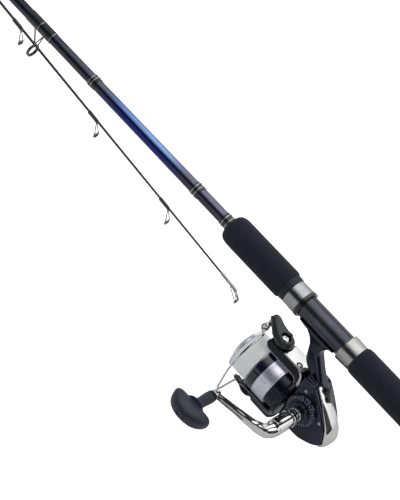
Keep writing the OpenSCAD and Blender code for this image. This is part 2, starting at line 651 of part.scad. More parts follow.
module drag_knob() color("#cfd0d4") spool_axis() difference() {
    turned([
        [0, 36.4], [12.2, 36.4], [12.2, 43.6], [14.2, 43.9], [14, 45.6], [11, 47], [0, 47.4]
    ]);
    rod_x(shaft_r + run, 36, 45.6);
}

butt_blank();
butt_cap();
rear_grip();
seat_tube();
rear_hood();
butt_wraps();
trim_rings();
butt_guide_frames();
butt_guide_rings();
spigot();
front_hood();
hood_lip();
fore_grip();
lock_nut();
tip_blank();
tip_wraps();
tip_guide_frames();
tip_guide_rings();
tip_top_frame();
tip_top_ring();
reel_body();
side_cover();
rear_cover();
cover_screws();
crank_bearings();
pinion_bearing();
roller_clutch();
oscillation_gear();
anti_reverse_lever();
drive_gear();
crank_collar();
crank_stem();
crank_arm();
fold_pin();
screw_cap();
knob_pin();
knob_washer();
handle_knob();
knob_end_cap();
rotor();
arm_cover_a();
arm_cover_b();
arm_cover_screws();
rotor_nut();
pinion();
bail_lever();
bail_holder();
bail_wire();
roller_pin();
bail_screws();
line_roller();
main_shaft();
crosswind_block();
spool();
spool_band();
wound_line();
drag_washers();
drag_knob();
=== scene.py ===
"""Looks of a fishing rod and spinning reel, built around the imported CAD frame.

The builders below take millimetres from the middle of the reel seat, with +X, +Y and +Z as in the frame.
Camera, floor and material scales are in metres.
"""

from math import copysign, cos, exp, pi, radians, sin, tau

import bmesh
import bpy
from mathutils import Euler, Matrix, Vector

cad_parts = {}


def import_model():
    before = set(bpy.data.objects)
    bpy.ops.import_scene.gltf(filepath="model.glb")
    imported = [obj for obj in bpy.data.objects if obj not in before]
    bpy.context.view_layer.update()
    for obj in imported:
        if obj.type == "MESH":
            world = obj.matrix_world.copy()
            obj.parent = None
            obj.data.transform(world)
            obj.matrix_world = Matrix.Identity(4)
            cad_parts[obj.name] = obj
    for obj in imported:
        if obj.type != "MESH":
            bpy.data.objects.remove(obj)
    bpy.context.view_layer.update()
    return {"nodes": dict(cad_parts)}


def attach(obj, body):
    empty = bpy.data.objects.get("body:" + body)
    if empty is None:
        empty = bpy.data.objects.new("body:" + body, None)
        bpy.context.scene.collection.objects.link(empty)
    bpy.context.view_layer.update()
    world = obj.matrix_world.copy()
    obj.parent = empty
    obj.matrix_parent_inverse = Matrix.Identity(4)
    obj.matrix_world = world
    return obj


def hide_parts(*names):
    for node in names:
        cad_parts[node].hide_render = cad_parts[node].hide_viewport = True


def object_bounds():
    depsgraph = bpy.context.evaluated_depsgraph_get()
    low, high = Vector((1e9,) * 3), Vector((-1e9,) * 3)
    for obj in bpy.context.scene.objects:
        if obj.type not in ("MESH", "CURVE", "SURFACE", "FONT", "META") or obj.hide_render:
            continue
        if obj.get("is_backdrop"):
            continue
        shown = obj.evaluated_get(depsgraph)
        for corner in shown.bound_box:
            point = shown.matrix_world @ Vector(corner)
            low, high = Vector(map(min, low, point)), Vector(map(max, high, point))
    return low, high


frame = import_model()
NODES = frame["nodes"]

MM = 0.001

# Middle of the reel seat along the rod, in metres
SEAT_X = 0.345
# Height of the axis of spool, rotor and main shaft
SPOOL_Z = -78.7
# Crank shaft (x, z), the arm's fall towards the knob and the arm's length
CRANK = (-30.0, -70.0)
ARM_DROP = radians(12.3)
ARM_LEN = 53.5
KNOB = (CRANK[0] + ARM_LEN * cos(ARM_DROP), CRANK[1] - ARM_LEN * sin(ARM_DROP))
# Bail pivots (x, y), the plane of its wire and the line roller's pin (x, height over the spool's axis)
PIVOT = (20.0, 1.0)
WIRE_X = 34.0
ROLLER = (39.0, 34.0)
# Screws of the arm covers (x, y) and of the side cover (x, z)
ARM_SCREW = (-4.0, 5.3)
COVER_SCREWS = ((-23.4, -52.5), (-48.0, -66.3), (-20.5, -89.3))
# Oscillation gear's axle (x, z)
GEAR_AXLE = (-43.27, -79.29)
# Angle of the seat's groove round the rod, and the radius of the painted shade strip in it
GROOVE_ANGLE = radians(87.4)
GROOVE_R = 9.42


# ---------------- camera
def make_camera():
    """Long-lens view from the crank's side and above."""
    data = bpy.data.cameras.new("camera")
    data.sensor_width, data.lens = 36.0, 108.0
    data.clip_start, data.clip_end = 0.05, 60.0
    cam = bpy.data.objects.new("camera", data)
    bpy.context.scene.collection.objects.link(cam)
    turn = Euler([radians(a) for a in (45.866, -24.61, -136.029)])
    cam.matrix_world = Matrix.Translation((0.10743, 0.90028, 0.75100)) @ turn.to_matrix().to_4x4()
    bpy.context.scene.camera = cam


make_camera()


# ---------------- materials
class Nodes:
    """A short way to write a node tree. A value is a number, a colour, a vector or another node's output."""

    def __init__(self, tree):
        self.tree = tree

    def put(self, socket, value):
        if isinstance(value, bpy.types.NodeSocket):
            self.tree.links.new(value, socket)
        elif socket.type == "RGBA":
            socket.default_value = (*value, 1)
        else:
            socket.default_value = value

    def add(self, kind, **values):
        """A new node. Each value is one of its settings or, with _ for a space, one of its sockets."""
        node = self.tree.nodes.new(kind)
        for key, value in values.items():
            if hasattr(node, key):
                setattr(node, key, value)
            else:
                self.put(node.inputs[key.replace("_", " ")], value)
        return node

    def coords(self, scale=(1, 1, 1), rotation=(0, 0, 0)):
        place = self.add("ShaderNodeTexCoord").outputs["Object"]
        return self.add("ShaderNodeMapping", Scale=scale, Rotation=rotation, Vector=place).outputs["Vector"]

    def noise(self, scale, detail=4.0, rough=0.55, vector=None):
        node = self.add("ShaderNodeTexNoise", Scale=scale, Detail=detail, Roughness=rough,
                        Vector=vector or self.coords())
        return node.outputs["Fac"]

    def cells(self, scale):
        return self.add("ShaderNodeTexVoronoi", Scale=scale, Vector=self.coords()).outputs["Distance"]

    def wave(self, direction, scale, distortion, vector):
        node = self.add("ShaderNodeTexWave", wave_type="BANDS", bands_direction=direction, Scale=scale,
                        Distortion=distortion, Vector=vector)
        return node.outputs["Fac"]

    def ramp(self, fac, stops):
        """Colour ramp of (position, colour) stops."""
        node = self.add("ShaderNodeValToRGB", Fac=fac)
        elements = node.color_ramp.elements
        while len(elements) > 1:
            elements.remove(elements[-1])
        elements[0].position = stops[0][0]
        elements[0].color = (*stops[0][1], 1)
        for position, colour in stops[1:]:
            elements.new(position).color = (*colour, 1)
        return node.outputs["Color"]

    def span(self, value, a, b, c, d):
        """Maps the range a..b to c..d."""
        node = self.add("ShaderNodeMapRange", From_Min=a, From_Max=b, To_Min=c, To_Max=d, Value=value)
        return node.outputs["Result"]

    def math(self, operation, *values):
        node = self.add("ShaderNodeMath", operation=operation)
        for socket, value in zip(node.inputs, values):
            self.put(socket, value)
        return node.outputs["Value"]

    def mix(self, fac, a, b, blend="MIX"):
        node = self.add("ShaderNodeMix", data_type="RGBA", blend_type=blend)
        for index, value in ((0, fac), (6, a), (7, b)):
            self.put(node.inputs[index], value)
        return node.outputs[2]

    def bump(self, height, strength, distance, normal=None):
        node = self.add("ShaderNodeBump", Strength=strength, Distance=distance, Height=height)
        if normal:
            self.put(node.inputs["Normal"], normal)
        return node.outputs["Normal"]


class Material(Nodes):
    """The node tree of a new material, with its shader's sockets."""

    def __init__(self, name):
        self.mat = bpy.data.materials.new(name)
        self.mat.use_nodes = True
        super().__init__(self.mat.node_tree)
        self.sockets = self.tree.nodes["Principled BSDF"].inputs

    def set(self, **values):
        for key, value in values.items():
            self.put(self.sockets[key.replace("_", " ")], value)


BLACK = (0, 0, 0)
WHITE = (1, 1, 1)


def painted(name, low, high, rough, coat=0.0, metal=0.0, grain=900.0, bump=0.02, flake=0.0, sheen=0.0):
    """Paint or moulded plastic: slow colour drift, fine orange peel, scuffs in the roughness."""
    n = Material(name)
    colour = n.ramp(n.noise(60.0, 3.0), [(0.35, low), (0.65, high)])
    if flake:
        spark = n.ramp(n.cells(9000.0), [(0.0, WHITE), (0.16, BLACK)])
        colour = n.mix(n.math("MULTIPLY", spark, flake), colour, (0.25, 0.3, 0.45))
    scuff = n.noise(420.0, 6.0, 0.7)
    n.set(Base_Color=colour, Roughness=n.span(scuff, 0.3, 0.75, rough * 0.8, rough * 1.3), Metallic=metal,
          Coat_Weight=coat, Coat_Roughness=0.06, Sheen_Weight=sheen, Sheen_Roughness=0.5,
          Normal=n.bump(n.noise(grain, 3.0), bump, 0.0004))
    return n.mat


def metal(name, tint, rough, brush=None, brush_strength=0.1, dirt=0.25, **shader):
    """Plated or turned metal. brush is the scale of the tool marks; shader sets further sockets."""
    n = Material(name)
    stained = tuple(c * (1 - dirt * 0.5) for c in tint)
    haze = n.noise(700.0, 5.0, 0.7)
    n.set(Base_Color=n.ramp(n.noise(180.0, 5.0, 0.65), [(0.3, stained), (0.62, tint)]), Metallic=1.0,
          Roughness=n.span(haze, 0.3, 0.8, rough * 0.75, rough * 1.5), **shader)
    if brush:
        n.set(Normal=n.bump(n.noise(1.0, 2.0, 0.6, n.coords(brush)), brush_strength, 0.0002))
    else:
        n.set(Normal=n.bump(n.noise(1500.0, 2.0), 0.03, 0.0002))
    return n.mat


def foam(name):
    """Sanded EVA: near black, velvety, with fine closed cells."""
    n = Material(name)
    tone = n.ramp(n.noise(130.0, 6.0, 0.7), [(0.3, (0.014, 0.0155, 0.033)), (0.7, (0.022, 0.024, 0.049))])
    speck = n.ramp(n.noise(5200.0, 2.0), [(0.62, BLACK), (0.78, WHITE)])
    fine = n.bump(n.cells(2600.0), 0.35, 0.0002)
    n.set(Base_Color=n.mix(n.math("MULTIPLY", speck, 0.35), tone, (0.05, 0.05, 0.07)),
          Roughness=n.span(n.noise(900.0), 0.3, 0.7, 0.78, 0.95), Sheen_Weight=0.12, Sheen_Roughness=0.6,
          Specular_IOR_Level=0.25, Normal=n.bump(n.noise(700.0, 4.0), 0.25, 0.0003, fine))
    return n.mat


def blank(name, blue):
    """Glossy blank: navy black with fine cloth under the lacquer, and one blue zone if asked for; its crest
    is painted lighter and its lower side darker, as painted light and shade.
    """
    n = Material(name)
    tone = n.ramp(n.noise(40.0, 3.0), [(0.35, (0.072, 0.080, 0.122)), (0.7, (0.100, 0.108, 0.158))])
    spiral = n.wave("DIAGONAL", 260.0, 0.3, n.coords((1.0, 0.35, 0.35)))
    tone = n.mix(n.math("MULTIPLY", spiral, 0.22), tone, (0.15, 0.16, 0.2))
    x, y, z = n.add("ShaderNodeSeparateXYZ", Vector=n.coords()).outputs
    # How far a point lies up the blank, in metres from the rod's axis; painted shade below, painted light on
    # the crest
    crest = n.math("ADD", n.math("MULTIPLY", y, -0.64), n.math("MULTIPLY", z, 0.77))
    painted_shade_tone = n.mix(1.0, tone, (0.50, 0.52, 0.60), "MULTIPLY")
    pale = n.mix(1.0, tone, (1.35, 1.35, 1.35), "MULTIPLY")
    tone = n.mix(n.span(crest, -0.0025, 0.0030, 0.0, 1.0), painted_shade_tone, pale)
    if blue:
        along = n.span(x, SEAT_X + 0.150, SEAT_X + 0.290, 0.0, 1.0)
        grain = n.noise(1400.0, 3.0, 0.6, n.coords((0.12, 1, 1)))
        along = n.math("ADD", along, n.span(grain, 0.0, 1.0, -0.018, 0.018))
        zone = n.ramp(along, [(at, (share,) * 3) for at, share in (
            (0.0, 0), (0.13, 0), (0.24, 0.55), (0.36, 1), (0.72, 1), (0.84, 0.45), (0.93, 0), (1.0, 0))])
        # Painted light and shade on the blue: a bright blue on the crest and a deep blue below it
        painted_lit_blue = n.ramp(along, [
            (0.15, (0.09, 0.14, 0.34)), (0.3, (0.19, 0.34, 0.68)), (0.5, (0.18, 0.33, 0.68)),
            (0.75, (0.12, 0.22, 0.56)), (0.9, (0.09, 0.13, 0.30)),
        ])
        blue_with_painted_light = n.mix(n.span(crest, -0.0012, 0.0026, 0.0, 1.0), (0.003, 0.018, 0.25), painted_lit_blue)
        tone = n.mix(zone, tone, blue_with_painted_light)
    n.set(Metallic=0.85, Base_Color=tone, Roughness=n.span(n.noise(500.0, 5.0, 0.7), 0.3, 0.8, 0.15, 0.26),
          Coat_Weight=0.6, Coat_Roughness=0.05, Normal=n.bump(n.noise(260.0, 2.0), 0.05, 0.0003))
    return n.mat


def thread(name, low, high, metallic=0.0):
    """Whipping: close turns of thread round the blank under a coat of lacquer."""
    n = Material(name)
    turns = n.wave("X", 5200.0 / tau, 0.15, n.coords())
    n.set(Base_Color=n.ramp(turns, [(0.1, low), (0.9, high)]), Metallic=metallic,
          Roughness=n.span(n.noise(900.0), 0.3, 0.7, 0.25, 0.4), Coat_Weight=0.9, Coat_Roughness=0.05,
          Normal=n.bump(turns, 0.5, 0.00012))
    return n.mat


def wound(name):
    """Clear line laid in close crossing turns."""
    n = Material(name)
    one, other = (n.wave("X", 2400.0 / tau, 0.6, n.coords(rotation=(0, 0, tilt))) for tilt in (0.02, -0.02))
    turns = n.math("MAXIMUM", one, other)
    tone = n.ramp(turns, [(0.15, (0.72, 0.74, 0.75)), (0.75, (0.93, 0.94, 0.94))])
    cloud = n.noise(45.0, 3.0, 0.6, n.coords((3.0, 1, 1)))
    # The line glows a little: a painted glow that brightens it as light would
    n.set(Base_Color=n.mix(n.span(cloud, 0.4, 0.7, 0.0, 0.4), tone, (0.80, 0.82, 0.84)),
          Roughness=n.span(n.noise(600.0), 0.3, 0.7, 0.22, 0.36), Subsurface_Weight=0.08,
          Subsurface_Scale=0.001, Emission_Color=(0.93, 0.95, 0.96), Emission_Strength=0.22, Coat_Weight=0.4,
          Coat_Roughness=0.15, Normal=n.bump(turns, 0.45, 0.00018))
    return n.mat


FINE = (2500,) * 3

M_BLANK = blank("blank_blue_zone", True)
M_TIP_BLANK = blank("blank_plain", False)
M_FOAM = foam("eva_foam")
M_RUBBER = painted("butt_rubber", (0.012, 0.012, 0.016), (0.02, 0.02, 0.026), 0.6, grain=1600, bump=0.2)
M_SEAT = painted("seat_slate", (0.085, 0.09, 0.112), (0.115, 0.12, 0.145), 0.24, metal=0.75, grain=2400,
                 bump=0.06)
M_HOOD = metal("hood_satin", (0.52, 0.52, 0.51), 0.22, (9000, 120, 120), Anisotropic=0.5)
M_FRONT_HOOD = metal("front_hood_satin", (0.47, 0.475, 0.49), 0.22, (9000, 120, 120), Anisotropic=0.5)
M_CHROME = metal("chrome", (0.90, 0.90, 0.89), 0.045, dirt=0.12)
M_STEEL = metal("screw_steel", (0.70, 0.71, 0.73), 0.24, FINE, 0.08)
M_GROUND = metal("ground_steel", (0.62, 0.63, 0.66), 0.2, (6000, 300, 300))
M_BRASS = metal("brass", (0.66, 0.50, 0.22), 0.26, FINE)
M_ZINC = metal("zinc", (0.52, 0.53, 0.54), 0.36, (1800, 1800, 1800))
M_GUNMETAL = metal("guide_gunmetal", (0.20, 0.21, 0.24), 0.22, FINE, 0.05)
M_GUIDE = metal("guide_steel", (0.50, 0.51, 0.54), 0.22, FINE, 0.05)
M_CERAMIC = painted("ring_ceramic", (0.02, 0.02, 0.024), (0.035, 0.035, 0.04), 0.14, coat=0.6)
M_GRAPHITE = painted("spigot", (0.03, 0.032, 0.04), (0.06, 0.062, 0.07), 0.42, grain=2500, bump=0.1)
M_LIP = painted("lip_black", (0.008, 0.008, 0.011), (0.014, 0.014, 0.018), 0.25, coat=0.5)
M_NUT = painted("nut_slate", (0.011, 0.0125, 0.028), (0.019, 0.021, 0.043), 0.5, grain=2400, bump=0.08)
M_BODY = painted("body_navy", (0.010, 0.012, 0.040), (0.016, 0.019, 0.060), 0.22, coat=0.7, metal=0.55,
                 flake=0.05)
M_ROTOR = painted("rotor_black", (0.009, 0.010, 0.024), (0.014, 0.016, 0.036), 0.26, coat=0.3, metal=0.55,
                  flake=0.05)
M_LEVER = painted("lever_grey", (0.020, 0.022, 0.032), (0.030, 0.033, 0.046), 0.3, coat=0.25, grain=1500,
                  bump=0.05)
M_SWITCH = painted("switch_grey", (0.09, 0.095, 0.105), (0.14, 0.145, 0.155), 0.25, coat=0.5)
M_KNOB = painted("knob_soft", (0.020, 0.026, 0.050), (0.030, 0.038, 0.068), 0.42, coat=0.08, grain=2600,
                 bump=0.16, sheen=0.12)
M_CAP = painted("cap_slate", (0.016, 0.019, 0.03), (0.026, 0.03, 0.045), 0.3, coat=0.4)
# The spool's metal glows faintly: painted light that brightens its skirt, pinstripe and the drag knob
M_SPOOL = metal("spool_satin", (0.88, 0.89, 0.97), 0.28, (14000, 90, 90), dirt=0.1,
                Emission_Color=(0.84, 0.86, 1.0), Emission_Strength=0.10)
M_BAND = painted("band_navy", (0.006, 0.008, 0.030), (0.012, 0.015, 0.055), 0.16, coat=1.0)
M_LINE = wound("wound_line")
M_FELT = painted("drag_felt", (0.30, 0.24, 0.16), (0.42, 0.34, 0.24), 0.9, grain=3000, bump=0.5)
M_THREAD = thread("whipping_navy", (0.004, 0.005, 0.010), (0.012, 0.014, 0.026))
M_SILVER = thread("whipping_silver", (0.35, 0.36, 0.40), (0.75, 0.76, 0.80), 0.85)
# Black for painted shade in grooves, gaps and recesses
M_SHADOW = painted("painted_shade_black", (0.003, 0.003, 0.004), (0.006, 0.006, 0.008), 0.5)
# Pale grey for the boss's ticks and the arm covers' borders, and for painted highlights on the arms
M_PALE_MARKS_AND_HIGHLIGHT = painted("pale_marks_and_painted_highlight", (0.30, 0.31, 0.40), (0.40, 0.41, 0.50), 0.3, coat=0.4)

# The CAD nodes that show, by material; pieces stand for the others
CAD_NODES = {
    M_BLANK: ("butt_blank",),
    M_TIP_BLANK: ("tip_blank",),
    M_SEAT: ("seat_tube",),
    M_HOOD: ("rear_hood",),
    M_FRONT_HOOD: ("front_hood",),
    M_LIP: ("hood_lip",),
    M_THREAD: ("butt_wraps", "tip_wraps"),
    M_SILVER: ("trim_rings",),
    M_GUNMETAL: ("butt_guide_frames",),
    M_GUIDE: ("tip_guide_frames", "tip_top_frame"),
    M_CERAMIC: ("butt_guide_rings", "tip_guide_rings", "tip_top_ring"),
    M_GRAPHITE: ("spigot",),
    M_STEEL: ("roller_pin",),
    M_GROUND: ("crank_bearings", "pinion_bearing", "roller_clutch", "main_shaft"),
    M_BRASS: ("oscillation_gear", "pinion", "rotor_nut"),
    M_ZINC: ("crosswind_block", "drive_gear"),
    M_SWITCH: ("anti_reverse_lever",),
    M_FELT: ("drag_washers",),
}
for material, names in CAD_NODES.items():
    for name in names:
        data = NODES[name].data
        data.materials.clear()
        data.materials.append(material)


# ---------------- outlines and curves
def circle(count):
    """count angles evenly spaced round a circle."""
    return [tau * k / count for k in range(count)]


def clamp(value):
    """value held between 0 and 1."""
    return min(max(value, 0.0), 1.0)


def rounded(points, radius, steps=5):
    """Rounds the corners of a closed 2-D outline, and leaves a stretch of each side straight.

    radius may be one number or one a point.
    """
    out = []
    for i, p in enumerate(points):
        r = radius[i] if isinstance(radius, list) else radius
        if r <= 0:
            out.append(p)
            continue
        corner = Vector(p)
        u, v = Vector(points[i - 1]) - corner, Vector(points[(i + 1) % len(points)]) - corner
        cut = min(r, u.length * 0.48, v.length * 0.48)
        start, end = corner + u.normalized() * cut, corner + v.normalized() * cut
        for k in range(steps + 1):
            t = k / steps
            out.append(tuple(start * (1 - t) ** 2 + corner * 2 * t * (1 - t) + end * t * t))
    return out


def smooth(points, per=8, closed=False):
    """Catmull-Rom curve through 2-D or 3-D points."""
    pts = [Vector(p) for p in points]
    pts = [pts[-1], *pts, *pts[:2]] if closed else [pts[0], *pts, pts[-1]]
    out = []
    for p0, p1, p2, p3 in zip(pts, pts[1:], pts[2:], pts[3:]):
        for k in range(per):
            t = k / per
            out.append(0.5 * (2 * p1 + (p2 - p0) * t + (2 * p0 - 5 * p1 + 4 * p2 - p3) * t * t
                              + (3 * p1 - p0 - 3 * p2 + p3) * t ** 3))
    if not closed:
        out.append(pts[-1])
    return [tuple(p) for p in out]


def resample(points, count):
    """count points evenly spaced along a closed 2-D outline."""
    pts = [Vector(p) for p in points]
    pts.append(pts[0])
    lengths = [0.0]
    for a, b in zip(pts, pts[1:]):
        lengths.append(lengths[-1] + (b - a).length)
    out, j = [], 0
    for k in range(count):
        d = lengths[-1] * k / count
        while lengths[j + 1] < d:
            j += 1
        t = (d - lengths[j]) / max(lengths[j + 1] - lengths[j], 1e-12)
        out.append(tuple(pts[j].lerp(pts[j + 1], t)))
    return out


def inset(points, d):
    """Moves a closed 2-D outline inwards by d along its normals."""
    n = len(points)
    area = sum(points[i - 1][0] * points[i][1] - points[i][0] * points[i - 1][1] for i in range(n))
    shift = d if area > 0 else -d
    out = []
    for i, (x, y) in enumerate(points):
        along = (Vector(points[(i + 1) % n]) - Vector(points[i - 1])).normalized()
        out.append((x - along.y * shift, y + along.x * shift))
    return out


def lerp_list(keys, n):
    """n values interpolated smoothly along keys, each (position 0..1, tuple)."""
    out = []
    for i in range(n):
        t = i / (n - 1)
        for (t0, a), (t1, b) in zip(keys, keys[1:]):
            if t <= t1 + 1e-9:
                f = (t - t0) / (t1 - t0)
                f = f * f * (3 - 2 * f)
                out.append(tuple(x + (y - x) * f for x, y in zip(a, b)))
                break
    return out


def super_section(centre, u, v, a, b, power=2.0, seg=32, groove=0.0):
    """One superellipse ring in the plane of u and v; groove dents the middle of its two v sides."""
    out = []
    for angle in circle(seg):
        c, s = cos(angle), sin(angle)
        x = copysign(abs(c) ** (2 / power), c) * a
        y = copysign(abs(s) ** (2 / power), s) * b
        if abs(s) > 0.5:
            y -= copysign(groove, s) * exp(-(x / (0.26 * a)) ** 2)
        out.append(tuple(Vector(centre) + Vector(u) * x + Vector(v) * y))
    return out


def path_frames(path, across):
    """Each point of a path with its section's two directions, the first as near to across as it can be."""
    pts = [Vector(p) for p in path]
    for p, before, after in zip(pts, [pts[0], *pts], [*pts[1:], pts[-1]]):
        along = (after - before).normalized()
        v = along.cross(Vector(across)).normalized()
        yield p, v.cross(along).normalized(), v


# ---------------- places
def about_x(z0=0.0):
    """Places (along, radius, angle) about an axis along X."""
    return lambda s, r, a: (s, r * cos(a), z0 + r * sin(a))


def about_y(x0, z0):
    return lambda s, r, a: (x0 + r * cos(a), s, z0 - r * sin(a))


def around(place, x0, y0):
    """Places (along, radius, angle) about the third direction of place."""
    return lambda s, r, a: place(x0 + r * cos(a), y0 + r * sin(a), s)


def level(sign, x0=0.0, y0=0.0, drop=0.0):
    """Places (x, y, distance) above (1) or below (-1) the spool's axis."""
    return lambda x, y, w: (x0 + x, y0 + y, SPOOL_Z + sign * (w - drop))


def side_on(sign=1, z0=0.0):
    """Places (x, distance from z0, y) of an outline that is drawn from the side."""
    return lambda x, h, w: (x, w, z0 + sign * h)


CRANK_AXIS = about_y(*CRANK)
KNOB_AXIS = about_y(*KNOB)
ROD_AXIS = about_x()
SPOOL_AXIS = about_x(SPOOL_Z)
ROLLER_AXIS = about_y(ROLLER[0], SPOOL_Z + ROLLER[1])
# Arm a and the bail's lever are above the spool's axis, arm b and the wire's holder below it
OVER_PIVOT, UNDER_PIVOT = (level(sign, *PIVOT) for sign in (1, -1))
ARM_A, ARM_B = (side_on(sign, SPOOL_Z) for sign in (1, -1))


# ---------------- closed solids, as (points, faces)
def skin(rings, loop=False):
    """Joins rings of equal length; its two ends are closed, or joined to one another."""
    n, count = len(rings[0]), len(rings)
    faces = []
    for i in range(count if loop else count - 1):
        a, b = i * n, (i + 1) % count * n
        faces += [(a + k, a + (k + 1) % n, b + (k + 1) % n, b + k) for k in range(n)]
    if not loop:
        faces += [tuple(range(n - 1, -1, -1)), tuple(range((count - 1) * n, count * n))]
    return [p for ring in rings for p in ring], faces


def turned(profile, place, seg=64, loop=False):
    """A turned solid of (along, radius) points with flat ends; a loop profile is a closed outline."""
    return skin([[place(s, r, a) for a in circle(seg)] for s, r in profile], loop)


def stacked(outline, levels, place):
    """Stacks an outline at (level, inset) pairs."""
    return skin([[place(*p, w) for p in inset(outline, d)] for w, d in levels])


def plate(outline, w0, w1, r, place, steps=4, r0=None):
    """A plate from w0 to w1 whose edges are rounded by r, or by r0 on its w0 side."""
    r0 = r0 or r
    bend = [pi / 2 * k / steps for k in range(steps + 1)]
    low = [(w0 + r0 * (1 - cos(a)), r0 * (1 - sin(a))) for a in bend]
    high = [(w1 - r * (1 - cos(a)), r * (1 - sin(a))) for a in reversed(bend)]
    return stacked(outline, low + high, place)


def swept(path, sizes, across, power, seg):
    """Superellipse sections of the given half sizes along a path."""
    frames = path_frames(path, across)
    return skin([super_section(p, u, v, *size, power, seg) for (p, u, v), size in zip(frames, sizes)])


def box(centre, size, axes):
    """A box whose sides run along three directions."""
    half = [Vector(axis) * length / 2 for axis, length in zip(axes, size)]
    verts = [tuple(Vector(centre) + half[0] * x + half[1] * y + half[2] * z)
             for x in (-1, 1) for y in (-1, 1) for z in (-1, 1)]
    return verts, [(0, 1, 3, 2), (4, 6, 7, 5), (0, 4, 5, 1), (2, 3, 7, 6), (0, 2, 6, 4), (1, 5, 7, 3)]


def crank_box(y, angle, r, size):
    """A box at radius r round the crank's axis; its sides run across, along the axis and outwards."""
    out = Vector((cos(angle), 0, -sin(angle)))
    across = Vector((sin(angle), 0, cos(angle)))
    return box(Vector((CRANK[0], y, CRANK[1])) + out * r, size, (across, (0, 1, 0), out))


def rod(a, b, r, seg=24):
    """A round bar from a to b."""
    a, b = Vector(a), Vector(b)
    along = (b - a).normalized()
    u = along.orthogonal().normalized()
    v = along.cross(u)
    return skin([[tuple(p + u * r * cos(t) + v * r * sin(t)) for t in circle(seg)] for p in (a, b)])


def joined(*solids):
    """Several solids as one."""
    verts, faces = [], []
    for points, sides in solids:
        base = len(verts)
        verts += points
        faces += [tuple(i + base for i in side) for side in sides]
    return verts, faces


# ---------------- objects
def new_object(name, verts, faces):
    """A linked object with its points merged and its normals outwards."""
    mesh = bpy.data.meshes.new(name)
    mesh.from_pydata(verts, [], faces)
    mesh.validate()
    bm = bmesh.new()
    bm.from_mesh(mesh)
    bmesh.ops.remove_doubles(bm, verts=bm.verts, dist=1e-7)
    bmesh.ops.recalc_face_normals(bm, faces=bm.faces)
    bm.to_mesh(mesh)
    bm.free()
    obj = bpy.data.objects.new(name, mesh)
    bpy.context.scene.collection.objects.link(obj)
    return obj


def piece(name, data, material, body, replaces=(), sharp=35.0):
    """Makes a piece from millimetre points about the seat, and rides it on a body.

    Edges that turn by more than sharp degrees aren't shaded smooth.
    """
    obj = new_object(name, [(SEAT_X + x * MM, y * MM, z * MM) for x, y, z in data[0]], data[1])
    mesh = obj.data
    mesh.materials.append(material)
    mesh.shade_smooth()
    mesh.set_sharp_from_angle(angle=radians(sharp))
    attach(obj, body)
    if replaces:
        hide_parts(*replaces)


def lathe(name, profile, place, material, body, replaces=(), seg=96, sharp=35.0):
    """A piece turned from a closed outline of (along, radius) points."""
    piece(name, turned(profile, place, seg, True), material, body, replaces, sharp)


def drop(obj):
    mesh = obj.data
    bpy.data.objects.remove(obj)
    bpy.data.meshes.remove(mesh)


def baked(obj):
    """The solid that an object's modifiers make; the object itself is dropped."""
    bpy.context.view_layer.update()
    mesh = bpy.data.meshes.new_from_object(obj.evaluated_get(bpy.context.evaluated_depsgraph_get()))
    out = [tuple(v.co) for v in mesh.vertices], [tuple(p.vertices) for p in mesh.polygons]
    bpy.data.meshes.remove(mesh)
    drop(obj)
    return out


def softened(data, voxel, passes):
    """Runs overlapping closed solids into one skin and rounds where they meet."""
    obj = new_object("work", *data)
    remesh = obj.modifiers.new("remesh", "REMESH")
    remesh.mode, remesh.voxel_size = "VOXEL", voxel
    relax = obj.modifiers.new("smooth", "SMOOTH")
    relax.factor, relax.iterations = 0.5, passes
    return baked(obj)


def carved(data, cutters):
    """Cuts crisp recesses out of a skin."""
    obj = new_object("work", *data)
    tools = [new_object("tool", *cutter) for cutter in cutters]
    for tool in tools:
        cut = obj.modifiers.new("cut", "BOOLEAN")
        cut.operation, cut.solver, cut.object = "DIFFERENCE", "EXACT", tool
    out = baked(obj)
    for tool in tools:
        drop(tool)
    return out


def screw(name, place, r, base, top, body, replaces=(), material=M_STEEL):
    """Pan head with a cross recess; it stands along the axis of place."""
    d = top - base
    head = turned([(base, r * 0.97), (base + d * 0.35, r), (base + d * 0.72, r * 0.93),
                   (base + d * 0.94, r * 0.78), (top, r * 0.6)], place, 48)
    centre = Vector(place(top, 0.0, 0.0))
    u = (Vector(place(top, 1.0, 0.35)) - centre).normalized()
    w = (Vector(place(top + 1, 0.0, 0.0)) - centre).normalized()
    v = w.cross(u).normalized()
    cross = [box(centre, (r * 1.15, r * 0.26, d * 0.9), axes) for axes in ((u, v, w), (v, u, w))]
    piece(name, carved(head, cross), material, body, replaces, 30)


# ---------------- rod
def grips():
    front = [(44.76, 9.7), (44.76, 12.3), (45.3, 13.0), (46.5, 13.35), (48.5, 13.4), (104.0, 13.4),
             (107.5, 13.25), (110.2, 12.6), (112.4, 11.4), (113.6, 9.9), (113.95, 8.6), (113.7, 7.5),
             (113.2, 6.8), (92.0, 6.8), (92.0, 9.7)]
    lathe("fore_grip_foam", rounded(front, 0.9), ROD_AXIS, M_FOAM, "fore_grip", ["fore_grip"],
          sharp=30)
    back = [(-36.9, 5.8), (-36.9, 10.9), (-37.2, 11.6), (-38.4, 12.4), (-40.4, 12.8), (-43.5, 12.9),
            (-329.0, 12.9), (-329.0, 5.8)]
    lathe("rear_grip_foam", rounded(back, [0, 0.5, 0.5, 0.8, 1, 2, 0, 0]), ROD_AXIS, M_FOAM, "rod",
          ["rear_grip"], sharp=30)
    cap = [(-345.0, 0.01), (-345.0, 11.0), (-344.4, 12.2), (-343.0, 12.7), (-337.5, 12.8), (-337.0, 12.4),
           (-336.4, 12.4), (-335.9, 12.8), (-331.6, 12.88), (-329.6, 12.7), (-329.02, 12.3), (-329.02, 5.75),
           (-335.0, 5.75), (-335.0, 0.01)]
    lathe("butt_cap_rubber", rounded(cap, [0, 1.2, 0.5, 0.8, 0.3, 0.2, 0.2, 0.3, 0.8, 0.6, 0.2, 0, 0, 0]),
          ROD_AXIS, M_RUBBER, "rod", ["butt_cap"], sharp=30)


